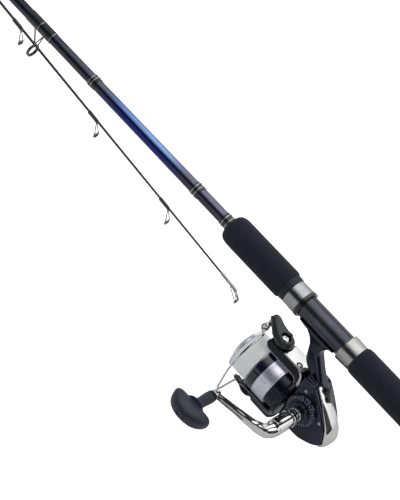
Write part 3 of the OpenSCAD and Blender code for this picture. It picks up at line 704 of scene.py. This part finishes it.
def fluted(profile, place, seg, flutes, depth, power, above, loop):
    """A turned solid with flutes where its radius is above a limit."""
    rings = []
    for s, r in profile:
        dent = depth if r > above else 0.0
        rings.append([place(s, r - dent * max(0.0, cos(flutes * a)) ** power, a) for a in circle(seg)])
    return skin(rings, loop)


def nut():
    """Slate ring behind the fore grip, with shallow finger flutes."""
    profile = [(38.45, 9.3), (38.45, 11.2), (38.9, 11.75), (43.4, 12.15), (44.4, 12.1), (44.72, 11.7),
               (44.72, 9.3)]
    piece("lock_nut_fluted", fluted(profile, ROD_AXIS, 144, 24, 0.22, 1, 11.4, True), M_NUT, "fore_grip",
          ["lock_nut"], 25)


def seat_groove_shade():
    """Painted shade: a dark strip at the bottom of the groove along the seat's crest, in two lengths."""
    out = Vector((0, cos(GROOVE_ANGLE), sin(GROOVE_ANGLE)))
    across = Vector((0, -sin(GROOVE_ANGLE), cos(GROOVE_ANGLE)))
    strips = [box(out * GROOVE_R + Vector(((x0 + x1) / 2, 0, 0)), (x1 - x0, 0.9, 0.2),
                  ((1, 0, 0), across, out))
              for x0, x1 in ((-22.9, -1.0), (-0.9, 22.0))]
    piece("seat_groove_painted_shade", joined(*strips), M_SHADOW, "rod")


# ---------------- handle
def knob():
    """T-shaped grip run into its stem, with a cap in a recess at the outer end."""
    rings = []
    for i in range(45):
        t = sin(radians(4 * i - 88))
        f = abs(t)
        inner = 88.4 + 4.2 * f ** 9
        outer = max(88.6 + 18.8 * (1 - f ** 2.15) ** (1 / 2.15), inner + 0.5)
        half = 7.3 * max(1 - f ** 5, 0.02) ** 0.42
        centre = (KNOB[0] + 20.0 * t, (inner + outer) / 2, KNOB[1])
        rings.append(super_section(centre, (0, 1, 0), (0, 0, 1), (outer - inner) / 2, half, 2.35, 40))
    stem = turned([(68.7, 4.5), (69.2, 5.1), (71, 5.25), (80, 4.75), (84, 4.75), (86.4, 5.4), (88.4, 7.4),
                   (90.5, 10.5), (92, 6.0)], KNOB_AXIS)
    bores = [turned([(104.9, 3.95), (112, 3.95)], KNOB_AXIS, 48),
             turned([(60, 1.98), (100.6, 1.98)], KNOB_AXIS, 32)]
    grip = carved(softened(joined(skin(rings), stem), 0.42, 14), bores)
    piece("knob_grip", grip, M_KNOB, "knob", ["handle_knob"], 50)
    cap = [(104.95, 0.01), (104.95, 3.4), (106.5, 3.4), (106.75, 3.15), (106.75, 2.1), (106.4, 1.9),
           (106.4, 0.9), (106.65, 0.8), (106.65, 0.01)]
    lathe("knob_cap", cap, KNOB_AXIS, M_CAP, "knob", ["knob_end_cap"], 48)
    # Painted shade: a dark ring in the gap round the cap
    gap = [(105.0, 3.42), (105.0, 3.93), (106.2, 3.93), (106.2, 3.42)]
    lathe("knob_cap_gap_shade", gap, KNOB_AXIS, M_SHADOW, "knob", (), 48)
    collar = [(65.35, 2.0), (65.35, 3.9), (65.9, 4.6), (67.3, 5.0), (68.0, 5.0), (68.5, 4.5), (68.5, 2.0)]
    lathe("knob_collar", collar, KNOB_AXIS, M_RUBBER, "knob", ["knob_washer"], 64)


def chrome(name, data, replaces=(), sharp=35.0):
    """A chrome piece of the crank."""
    piece(name, data, M_CHROME, "crank", replaces, sharp)


def crank_shade(name, data):
    """Painted shade: a dark piece in a joint or recess of the crank's chrome."""
    piece(name, data, M_SHADOW, "crank")


def crank_root():
    """Ringed collar on the side cover and the tube that carries the fold button."""
    collar = rounded([
        (19.35, 3.05), (19.35, 5.9), (22.9, 6.0), (23.1, 5.45), (23.7, 5.45), (23.9, 6.0), (26.9, 6.15),
        (27.1, 5.5), (27.6, 5.5), (27.8, 6.25), (30.7, 6.35), (30.8, 7.2), (31.3, 7.55), (32.2, 7.55),
        (32.6, 7.1), (32.6, 3.05),
    ], 0.12)
    chrome("crank_collar_turned", turned(collar, CRANK_AXIS, 96, True), ["crank_collar"])
    for k in range(5):
        angle = radians(22 + 72 * k)
        crank_shade(f"collar_slot_{k}", crank_box(25.3, angle, 6.0, (2.2, 0.55, 0.5)))
        crank_shade(f"collar_key_{k}", crank_box(29.2, angle, 6.2, (0.6, 2.2, 0.5)))
    gap = [(32.55, 3.1), (32.55, 6.7), (33.6, 6.7), (33.6, 3.1)]
    crank_shade("stem_gap", turned(gap, CRANK_AXIS, 96, True))
    tube = rounded([(33.5, 3.0), (33.5, 6.6), (33.9, 7.1), (50.9, 7.1), (51.3, 6.9), (51.3, 3.0)], 0.15)
    face = radians(-62)
    cuts = [crank_box(43.3, face, 6.9, (2.6, 4.4, 1.8)), crank_box(48.0, face, 6.9, (4.6, 4.2, 1.0))]
    chrome("crank_tube", carved(turned(tube, CRANK_AXIS, 128, True), cuts), ["crank_stem"], 30)
    chrome("fold_button", crank_box(48.0, face, 6.45, (4.1, 3.7, 1.1)))
    crank_shade("fold_slot", crank_box(43.3, face, 6.05, (2.4, 4.2, 0.5)))
    cap = [(-16.4, 0.01), (-16.4, 4.8), (-16.1, 5.6), (-15.4, 6.2), (-13.7, 6.4), (-13.62, 3.1),
           (-13.62, 0.01)]
    chrome("crank_cap", turned(rounded(cap, 0.2), CRANK_AXIS, 64, True), ["screw_cap"])


def crank_arm():
    """Arm that bends out of the tube and thins to the knob's eye, with a groove along each broad side."""
    fall = Vector((cos(ARM_DROP), 0, -sin(ARM_DROP)))
    across = Vector((sin(ARM_DROP), 0, cos(ARM_DROP)))
    start = Vector((CRANK[0], 0, CRANK[1]))
    path = smooth([start + fall * t + Vector((0, y, 0)) for t, y in (
        (0, 51.0), (0.1, 54.2), (1.2, 57.8), (4.4, 60.6), (9.5, 62.0), (16, 62.5), (27, 62.4), (39, 62.3),
        (47, 62.3), (52, 62.3))])
    sizes = lerp_list([(0, (6.9, 6.9)), (0.10, (6.85, 6.7)), (0.24, (6.3, 5.7)), (0.38, (5.0, 4.2)),
                       (0.55, (3.9, 3.2)), (0.75, (3.1, 2.6)), (1.0, (2.6, 2.3))], len(path))
    rings = []
    for i, (p, u, v) in enumerate(path_frames(path, across)):
        share = i / (len(path) - 1)
        power = 2.0 + 0.9 * clamp((share - 0.2) / 0.25)
        groove = 0.75 * clamp((share - 0.30) / 0.12) * clamp((0.97 - share) / 0.05)
        rings.append(super_section(p, u, v, *sizes[i], power, 72, groove))
    chrome("crank_arm_swept", skin(rings), ["crank_arm", "fold_pin"], 60)
    eye = rounded([(59.7, 1.95), (59.7, 3.7), (60.3, 4.1), (64.6, 4.1), (65.2, 3.7), (65.2, 1.95)], 0.3)
    chrome("crank_eye", turned(eye, KNOB_AXIS, 64, True))
    pin = [(57.9, 1.6), (58.2, 2.7), (58.9, 3.1), (59.6, 3.1), (59.65, 1.9), (99.9, 1.9)]
    piece("knob_pin_turned", turned(pin, KNOB_AXIS, 48), M_STEEL, "crank", ["knob_pin"])


# ---------------- reel body
STEM = rounded([
    (-15, -9.25), (13, -9.25), (13, -11.4), (9, -13.4), (4.5, -16.6), (1.1, -20.9), (-0.5, -27.2),
    (-2.9, -34.7), (-7.2, -39.9), (-15.5, -44.5), (-17, -52), (-36, -52), (-34, -47), (-28.4, -42),
    (-26.7, -40.9), (-19.5, -33.5), (-12, -24.8), (-10.6, -21), (-12, -17), (-15, -13.4),
], [1, 1, 1, 3, 4, 4, 6, 6, 6, 3, 1, 1, 1, 4, 4, 6, 5, 3, 3, 2])
HOUSING = rounded([
    (-15.5, -43.6), (-28, -43.6), (-39.8, -53.4), (-53.8, -67.8), (-59.8, -81.5), (-57, -86), (-52, -89.6),
    (-41.4, -94.4), (-34.5, -94.9), (-20, -94.5), (-15.5, -91),
], [0.6, 3, 8, 8, 4, 3, 4, 5, 6, 5, 2])
CAVITY = [
    (-17.8, -45.9), (-27.2, -45.9), (-38.2, -55.1), (-51.7, -69), (-57.3, -81.2), (-55.4, -84.2),
    (-51, -87.4), (-41, -92.0), (-34.5, -92.5), (-21, -92.1), (-17.8, -89.5),
]


def body_piece(name, data, replaces=(), sharp=35.0, material=M_BODY):
    piece(name, data, material, "rod", replaces, sharp)


def reel_body():
    """Foot, leg and open gear case in one casting."""
    feet = []
    for front, back, edge, flat, base, half_w, r in (
            (32.6, -31.6, -10.2, 14, -11.4, 3.9, 0.3), (19.5, -19.5, -10.5, 12, -11.8, 6.5, 0.4)):
        foot = [(front, -9.3), (front, edge), (flat, base), (-flat, base), (back, edge), (back, -9.3)]
        feet.append(plate(resample(rounded(foot, 0.3), 120), -half_w, half_w, r, side_on()))
    stem = plate(resample(STEM, 160), -5.6, 5.6, 3.0, side_on())
    case = plate(resample(HOUSING, 160), -13.0, 9.8, 2.6, side_on(), 5, 5.0)
    neck = turned([(-17, 9.0), (-8, 9.0)], SPOOL_AXIS, 96)
    cuts = [stacked(resample(CAVITY, 120), [(-10.4, 0.0), (12.0, 0.0)], side_on()),
            turned([(-19.5, 8.02), (-5, 8.02)], SPOOL_AXIS, 96), turned([(-20, 6.02), (0, 6.02)], CRANK_AXIS)]
    shell = softened(joined(stem, case, neck, *feet), 0.45, 8)
    body_piece("body_shell", carved(shell, cuts), ["reel_body"], 40)


def side_cover():
    """Cover plate and its ringed boss, with a ring of pale ticks."""
    cover = softened(plate(resample(HOUSING, 220), 9.6, 13.2, 1.2, side_on()), 0.4, 10)
    holes = [turned([(8, 6.02), (17, 6.02)], CRANK_AXIS)]
    holes += [turned([(8, 2.1), (16, 2.1)], about_y(*at), 32) for at in COVER_SCREWS]
    body_piece("cover_plate", carved(cover, holes), ["side_cover"], 40)
    boss = [(11.5, 6.05), (11.5, 15.4), (13.4, 15.35), (15.2, 15.0), (15.9, 14.5), (16.0, 13.9),
            (15.45, 13.5), (15.3, 11.1), (15.9, 10.7), (16.0, 10.2), (16.0, 9.4), (17.9, 9.15), (18.6, 8.9),
            (18.9, 8.4), (19.0, 7.6), (18.6, 4.3), (17.2, 4.2), (17.2, 6.05)]
    body_piece("cover_boss", turned(boss, CRANK_AXIS, 144, True), (), 40)
    ticks = [crank_box(15.42, angle, 12.3, (0.75, 0.5, 2.5)) for angle in circle(30)]
    body_piece("boss_ticks", joined(*ticks), material=M_PALE_MARKS_AND_HIGHLIGHT)
    for i, at in enumerate(COVER_SCREWS):
        screw(f"cover_screw_{i}", about_y(*at), 1.9, 11.6, 13.15, "rod", ["cover_screws"] if i == 0 else ())
    body_piece("gear_axle", turned([(5.2, 1.54), (10.3, 1.54)], about_y(*GEAR_AXLE), 32))


def rear_cover():
    """Chrome shell over the back of the case: a crescent that swells towards the bottom."""
    spine = smooth([(-28.6, -44.0), (-34.2, -48.6), (-40.2, -53.6), (-47.4, -61.0), (-54.0, -68.0),
                    (-57.8, -75.0), (-60.0, -81.4), (-57.6, -86.0), (-52.3, -89.8)])
    # Half width, bulge and shift towards the crank
    sizes = lerp_list([(0, (2.4, 0.5, 5.6)), (0.18, (5.4, 1.4, 3.6)), (0.42, (8.4, 2.8, 1.6)),
                       (0.66, (10.2, 3.6, 0.5)), (0.84, (10.4, 3.6, 0.2)), (1, (7.0, 0.9, 0.2))], len(spine))
    rings = []
    for i, (x, z) in enumerate(spine):
        along = (Vector(spine[min(i + 1, len(spine) - 1)]) - Vector(spine[max(i - 1, 0)])).normalized()
        out = Vector((along.y, -along.x)) * (-1 if along.y > 0 else 1)
        half, bulge, shift = sizes[i]
        arc = [pi * k / 32 for k in range(33)]
        ring = [(shift + half * cos(a), bulge * sin(a) ** 0.75) for a in arc]
        ring += [(shift - half + 2 * half * k / 8, -1.0) for k in range(1, 8)]
        rings.append([(x + out.x * h, y, z + out.y * h) for y, h in ring])
    piece("rear_cover_chrome", skin(rings), M_CHROME, "rod", ["rear_cover"], 50)


# ---------------- rotor
NEAR_ARM = [
    (-14, 14), (-14, 26), (-10.8, 32.6), (-8, 33), (11.5, 33), (13.5, 32.6), (27.0, 32.5), (29.3, 30.8),
    (29.3, 27), (25, 24.2), (12, 23.3), (-5.5, 23.2), (-8.6, 21.2), (-9.5, 14),
]
FAR_ARM = [
    (-14, 14), (-14, 22.5), (-11.5, 27.6), (-9, 28.9), (11.5, 28.9), (14, 28.7), (27, 28.4), (29, 27.2),
    (29, 25.8), (25, 24), (12, 23.3), (-5.5, 23.2), (-8.6, 21.2), (-9.5, 14),
]
ARM_ROUNDING = [0.5, 7, 2, 1, 1, 1, 1.5, 2, 2, 3, 3, 4, 5, 0.5]


def rotor_piece(name, data, replaces=(), sharp=35.0, material=M_ROTOR):
    piece(name, data, material, "rotor", replaces, sharp)


def rotor():
    """Cup under the spool with its two arms and their pivot bosses."""
    solids = []
    for place, pivot, outline, h in ((ARM_A, OVER_PIVOT, NEAR_ARM, 34.0),
                                     (ARM_B, UNDER_PIVOT, FAR_ARM, 29.9)):
        solids.append(plate(resample(rounded(outline, ARM_ROUNDING), 180), -9.0, 9.0, 1.3, place))
        solids.append(turned([(h - 3, 6.4), (h, 6.4), (h + 0.2, 6.1)], around(pivot, 0, 0)))
    cup = turned([(-14, 17.2), (-14, 21.2), (-13.2, 21.9), (-10.2, 21.9), (-9.4, 21.0), (-8.6, 19.8),
                  (9.6, 19.6), (10, 19.2), (10, 17.2)], SPOOL_AXIS, 144, True)
    web = turned([(-14, 10.1), (-14, 18), (-9.5, 18), (-9.5, 10.1)], SPOOL_AXIS, 96, True)
    rotor_piece("rotor_shell", softened(joined(*solids, cup, web), 0.42, 4), ["rotor"], 40)
    hub = turned([(-6, 17.6), (-3, 17.6)], SPOOL_AXIS, 96)
    rotor_piece("rotor_web", carved(hub, [turned([(-8, 5.0), (0, 5.0)], SPOOL_AXIS, 48)]), (), 40)
    # Painted highlight: a pale strip along the front edge of each arm stands for the light that edge catches
    highlight_path = smooth([(27.2, 27.0), (24.0, 25.2), (12.0, 24.3), (-4.5, 24.2), (-8.6, 22.2), (-9.9, 18.0),
                  (-10.2, 14.6)])
    for name, place in (("a", ARM_A), ("b", ARM_B)):
        data = swept([place(*p, 9.0) for p in highlight_path], [(0.6, 0.6)] * len(highlight_path), (0, 1, 0), 2.0, 12)
        rotor_piece(f"arm_edge_painted_highlight_{name}", data, (), 60, M_PALE_MARKS_AND_HIGHLIGHT)


def arm_covers():
    """Chrome plates on the arms, each with a pale border, a pivot cut-out and a screw."""
    outline = rounded([(-9.6, -8.6), (11.2, -8.6), (11.2, 8.6), (-9.6, 8.6)], [2.2, 1, 1, 2.6], 6)
    for name, place in (("a", level(1)), ("b", level(-1, drop=4.0))):
        screw_axis = around(place, *ARM_SCREW)
        cuts = [turned([(32, 10.2), (36, 10.2)], around(place, *PIVOT), 96),
                turned([(32, 3.0), (36, 3.0)], screw_axis, 48)]
        cover = plate(resample(outline, 160), 33.05, 34.1, 0.35, place)
        rotor_piece(f"arm_plate_{name}", carved(cover, cuts), [f"arm_cover_{name}"], 30, M_CHROME)
        border = plate(resample(inset(outline, -0.75), 160), 32.9, 33.5, 0.2, place)
        rotor_piece(f"arm_border_{name}", carved(border, cuts), (), 30, M_PALE_MARKS_AND_HIGHLIGHT)
        # Painted shade: a dark disc in each screw's recess
        well = turned([(32.7, 2.95), (33.0, 2.95)], screw_axis, 48)
        rotor_piece(f"arm_recess_shade_{name}", well, material=M_SHADOW)
        screw(f"arm_screw_{name}", screw_axis, 2.1, 32.95, 33.95, "rotor",
              ["arm_cover_screws"] if name == "a" else ())


def arm_trim_and_sheen():
    """Chrome strip down the front of the near arm, and a pale strip on the far arm that is a painted sheen.
    """
    near = smooth([(-6.2, 32.6), (-9.3, 31.4), (-11.6, 28.6), (-12.7, 24.6), (-13.0, 20.4), (-12.6, 16.6),
                   (-11.6, 14.6)])
    sizes = lerp_list([(0, (0.5, 0.35)), (0.3, (1.25, 0.6)), (0.75, (1.5, 0.6)), (1, (0.5, 0.3))], len(near))
    data = swept([ARM_A(*p, 8.9) for p in near], sizes, (-0.6, 0, 0.8), 2.2, 20)
    rotor_piece("arm_trim", data, (), 60, M_CHROME)
    # Painted reflection: the far arm's pale strip stands for the sheen along its side
    far = smooth([(16.0, 26.6), (4.0, 26.5), (-6.0, 26.2), (-9.6, 24.2), (-11.4, 20.4), (-11.8, 17.0),
                  (-11.8, 14.8)])
    sizes = lerp_list([(0, (0.3, 0.4)), (0.4, (1.0, 0.5)), (0.75, (1.7, 0.55)), (1, (1.2, 0.4))], len(far))
    data = swept([ARM_B(*p, 8.95) for p in far], sizes, (0.5, 0, -0.85), 2.4, 20)
    rotor_piece("far_arm_painted_sheen", data, (), 60, M_PALE_MARKS_AND_HIGHLIGHT)


# ---------------- bail
def bail_piece(name, data, replaces=(), sharp=35.0, material=M_LEVER):
    piece(name, data, material, "bail", replaces, sharp)


def bail_lever():
    """Round hub and arm that reach out to the line roller, with a hook over its end."""
    near_axis, far_axis = around(OVER_PIVOT, 0, 0), around(UNDER_PIVOT, 0, 0)
    hub = [(9.1 * cos(a), 9.1 * sin(a)) for a in circle(96)]
    hub = stacked(hub, [(34.6, 0.8), (35.0, 0.1), (37.6, 0.0), (38.9, 0.6), (39.7, 1.7), (40.1, 3.0)],
                  OVER_PIVOT)
    arm = smooth([(-3.5, 8.3), (3.5, 8.5), (9.5, 6.0), (14.5, 1.4), (19.4, -3.4), (22.6, -7.2), (22.9, -11.0),
                  (20.8, -13.7), (16.8, -13.8), (11.4, -11.2), (5.0, -9.2), (-2.0, -8.7)], closed=True)
    arm = stacked(resample(arm, 160), [(35.4, 0.9), (36.2, 0.1), (38.2, 0.0), (39.6, 0.7), (40.5, 1.9),
                                       (40.9, 3.2)], OVER_PIVOT)
    bars = [rod(OVER_PIVOT(*a), OVER_PIVOT(*b), r, seg) for a, b, r, seg in (
        ((19.0, -10.3, 38.2), (19.0, -10.2, 33.4), 3.2, 32),
        ((16.5, -9.5, 38.8), (20.4, -9.6, 38.4), 1.9, 24),
        ((20.4, -9.6, 38.4), (21.6, -5.6, 38.0), 1.9, 24))]
    roller_z = SPOOL_Z + ROLLER[1]
    bore = rod((ROLLER[0], -2, roller_z), (ROLLER[0], -20, roller_z), 1.3)
    shell = softened(joined(hub, arm, *bars), 0.4, 10)
    shell = carved(shell, [turned([(37.4, 4.9), (42, 4.9)], near_axis), bore])
    bail_piece("bail_lever_body", shell, ["bail_lever"], 45)
    # Painted shade: a dark ring lining the recess round the lever's screw
    ring = [(37.35, 4.0), (37.35, 4.88), (38.2, 4.88), (38.2, 4.55), (37.6, 4.4), (37.6, 4.0)]
    bail_piece("bail_recess_shade_ring", turned(ring, near_axis, loop=True), material=M_SHADOW)
    screw("bail_screw_a", near_axis, 3.75, 37.35, 39.3, "bail", ["bail_screws"], M_CHROME)
    screw("bail_screw_b", far_axis, 2.9, 32.4, 33.7, "bail", material=M_CHROME)


def arc(centre, radius, start, stop, steps):
    """Arc of (y, height) points of the wire; the angles are in degrees."""
    angles = [radians(start + (stop - start) * k / steps) for k in range(steps + 1)]
    return [(centre[0] + radius * cos(a), centre[1] + radius * sin(a)) for a in angles]


def bail_wire():
    """Wire that arches round the spool from the roller to the far arm, and the holder of its end."""
    arch_r, bend_r, drop_angle = 35.5, 10.0, -10.0
    side = radians(drop_angle)
    # The tight turn starts 17.6 mm down a straight that leaves the arch
    down, reach = 17.6, arch_r - bend_r
    bend = (reach * cos(side) + down * sin(side), reach * sin(side) - down * cos(side))
    foot = (bend[0], bend[1] - bend_r)
    holder = smooth([(-5.5, 3.0), (-2.0, 6.2), (3.5, 6.0), (9, 3.2), (15.5, 2.0), (17.8, -0.6), (15.5, -3.2),
                     (9, -3.8), (3.0, -6.2), (-3.5, -5.6), (-6.5, -1.5)], closed=True)
    holder = stacked(resample(holder, 120), [(30.55, 0.7), (30.9, 0.0), (32.2, 0.0), (32.8, 0.6),
                                             (33.1, 1.5)], UNDER_PIVOT)
    end = rod((WIRE_X, 3.0, SPOOL_Z + foot[1]), (WIRE_X, -2.4, SPOOL_Z + foot[1]), 1.5)
    bail_piece("bail_holder_body", softened(joined(holder, end), 0.3, 6), ["bail_holder"], 45)
    loop = arc((0.0, 0.0), arch_r, 72.0, drop_angle, 44) + arc(bend, bend_r, drop_angle, -90.0, 18)
    loop += [(foot[0] * (1 - k / 6) - 1.4 * k / 6, foot[1]) for k in range(1, 7)]
    loop = [Vector((WIRE_X, y, SPOOL_Z + h)) for y, h in loop]
    root = Vector((ROLLER[0], 8.0, SPOOL_Z + ROLLER[1]))
    lead = smooth([root, root.lerp(loop[0], 0.5) + Vector((0.3, 0.4, 0.2)), loop[0]], 10)
    path = lead[:-1] + loop
    wire = swept(path, [(0.85, 0.85)] * len(path), (1, 0, 0.01), 2.0, 20)
    bail_piece("bail_wire_bent", wire, ["bail_wire"], 60, M_CHROME)


def line_roller():
    """Grooved roller between the lever's hook and the wire's cone."""
    cone = [(5.4, 3.3), (5.9, 3.45), (7.0, 2.5), (8.2, 1.6), (9.0, 0.9)]
    bail_piece("line_cone", turned(cone, ROLLER_AXIS, 48), (), 60, M_CHROME)
    roller = rounded([(-6.5, 1.35), (-6.5, 3.5), (-5.2, 3.7), (-3.4, 2.5), (0.6, 2.5), (2.6, 3.6), (4.8, 3.6),
                      (4.8, 1.35)], [0, 0.4, 0.5, 1.2, 1.2, 0.6, 0.4, 0])
    lathe("roller_turned", roller, ROLLER_AXIS, M_CHROME, "line_roller", ["line_roller"], 64)
    shade = [(-7.3, 1.3), (-7.3, 3.1), (-6.6, 3.1), (-6.6, 1.3)]
    bail_piece("roller_shade", turned(shade, ROLLER_AXIS, 48, True), material=M_SHADOW)


# ---------------- spool
def spool():
    """Skirt, lip and band, with a pinstripe, and the wound line with its turns."""
    shell = rounded([
        (0.1, 20.3), (0.1, 21.3), (0.5, 21.7), (1.5, 21.75), (1.7, 21.5), (2.1, 21.5), (2.3, 21.75),
        (11.5, 21.75), (11.7, 21.45), (12.1, 21.45), (12.3, 21.8), (13.6, 21.8), (13.65, 21.3), (13.65, 20.5),
        (22.5, 20.5), (22.5, 15), (40.8, 15), (40.8, 20.0), (41.4, 20.5), (42.4, 20.5), (43.3, 19.7),
        (43.4, 19.0), (42.6, 16.5), (42.4, 14.4), (43.2, 13.6), (43.2, 13.2), (29.2, 13.2), (29.2, 2.3),
        (18.0, 2.3), (18.0, 4.5), (24, 4.5), (24, 13), (20.4, 13), (20.4, 20.3),
    ], 0.08, 2)
    lathe("spool_turned", shell, SPOOL_AXIS, M_SPOOL, "spool", ["spool"], 192, 25)
    band = rounded([(13.7, 20.6), (13.7, 21.55), (13.9, 21.75), (22.3, 21.75), (22.5, 21.5), (22.5, 20.6)],
                   0.05)
    lathe("spool_band_ring", band, SPOOL_AXIS, M_BAND, "spool", ["spool_band"], 192)
    stripe = [(21.35, 21.6), (21.35, 21.82), (21.6, 21.82), (21.6, 21.6)]
    lathe("spool_pinstripe", stripe, SPOOL_AXIS, M_SPOOL, "spool", (), 192)
    start, length, turns = 22.6, 17.9, 46
    pitch = length / turns
    outline = []
    for k in range(turns):
        for f, dr in ((0.0, -0.12), (0.25, 0.02), (0.5, 0.07), (0.75, 0.02)):
            bulge = 0.18 * sin(pi * (k + f) / turns)
            outline.append((start + (k + f) * pitch, 19.75 + dr + bulge))
    outline += [(40.55, 19.6), (40.55, 15.1), (start, 15.1)]
    lathe("line_turns", outline, SPOOL_AXIS, M_LINE, "spool", ["wound_line"], 160, 80)


def drag_knob():
    """Stepped knob with flutes round its widest part."""
    grip = rounded([(36.5, 0.01), (36.5, 11.9), (37.0, 12.2), (43.4, 12.2), (43.8, 13.9), (44.3, 14.2),
                    (45.4, 14.0), (46.2, 12.8), (46.9, 10.6), (47.0, 8.8), (46.6, 8.4), (46.6, 6.0),
                    (47.2, 5.6), (47.4, 4.0), (47.4, 0.01)], 0.2)
    bore = turned([(30, 2.28), (45.6, 2.28)], SPOOL_AXIS, 40)
    data = carved(fluted(grip, SPOOL_AXIS, 180, 15, 0.5, 2, 12.5, False), [bore])
    piece("drag_knob_turned", data, M_SPOOL, "drag_knob", ["drag_knob"], 30)


for build in (grips, nut, seat_groove_shade, knob, crank_root, crank_arm, reel_body, side_cover, rear_cover, rotor,
              arm_covers, arm_trim_and_sheen, bail_lever, bail_wire, line_roller, spool, drag_knob):
    build()


# ---------------- lights, floor, world
def brightness(n, value, low, high, stops, most):
    """Grey ramp over low..high whose stops are (value, brightness), as a share of the most."""
    return n.ramp(n.span(value, low, high, 0.0, 1.0),
                  [((at - low) / (high - low), (bright / most,) * 3) for at, bright in stops])


def world():
    """Studio surround: panels overhead and behind, a dark gap about the camera, flags to the sides."""
    sky = bpy.data.worlds.new("studio")
    bpy.context.scene.world = sky
    sky.use_nodes = True
    n = Nodes(sky.node_tree)
    x, y, z = n.add("ShaderNodeSeparateXYZ", Vector=n.add("ShaderNodeTexCoord").outputs["Generated"]).outputs
    brightest = 4.0
    round_rod = brightness(n, n.math("DEGREES", n.math("ARCTAN2", z, y)), -180.0, 180.0, [
        (-180, 0.6), (-90, 0.4), (-30, 0.55), (4, 0.55), (10, 0.35), (14, 0.02), (37, 0.02), (46, 0.10),
        (56, 0.45), (68, 1.15), (90, 1.5), (112, 1.45), (130, 1.2), (150, 0.85), (180, 0.6),
    ], brightest)
    along_rod = brightness(n, x, -1.0, 1.0, [
        (-1.0, 0.05), (-0.80, 0.05), (-0.76, 1.1), (-0.42, 1.1), (-0.38, 0.02), (-0.14, 0.02), (-0.10, 1.05),
        (0.40, 1.0), (0.44, 0.02), (0.60, 0.02), (0.64, 1.1), (0.80, 1.1), (0.84, 0.05), (1.0, 0.05),
    ], 1.0)
    studio = sky.node_tree.nodes["Background"]
    n.put(studio.inputs["Color"], round_rod)
    n.put(studio.inputs["Strength"], n.math("MULTIPLY", along_rod, brightest))
    plain = n.add("ShaderNodeBackground", Color=WHITE)
    pick = n.add("ShaderNodeMixShader", Fac=n.add("ShaderNodeLightPath").outputs["Is Camera Ray"])
    n.put(pick.inputs[1], studio.outputs["Background"])
    n.put(pick.inputs[2], plain.outputs["Background"])
    n.put(sky.node_tree.nodes["World Output"].inputs["Surface"], pick.outputs["Shader"])


def floor():
    """Pale floor half a millimetre under the object; to the camera it is as white as the surround."""
    low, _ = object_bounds()
    z = low.z - 0.0005
    mesh = bpy.data.meshes.new("floor")
    mesh.from_pydata([(-6, -6, z), (8, -6, z), (8, 6, z), (-6, 6, z)], [], [(0, 1, 2, 3)])
    n = Material("floor_pale")
    n.set(Base_Color=n.ramp(n.noise(3.0, 2.0), [(0.3, (0.80, 0.80, 0.80)), (0.7, (0.84, 0.84, 0.84))]),
          Roughness=0.9, Specular_IOR_Level=0.1, Emission_Color=WHITE,
          Emission_Strength=n.add("ShaderNodeLightPath").outputs["Is Camera Ray"])
    mesh.materials.append(n.mat)
    obj = bpy.data.objects.new("floor", mesh)
    bpy.context.scene.collection.objects.link(obj)
    obj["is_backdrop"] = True


world()
floor()
bpy.context.scene.view_settings.view_transform = "Standard"
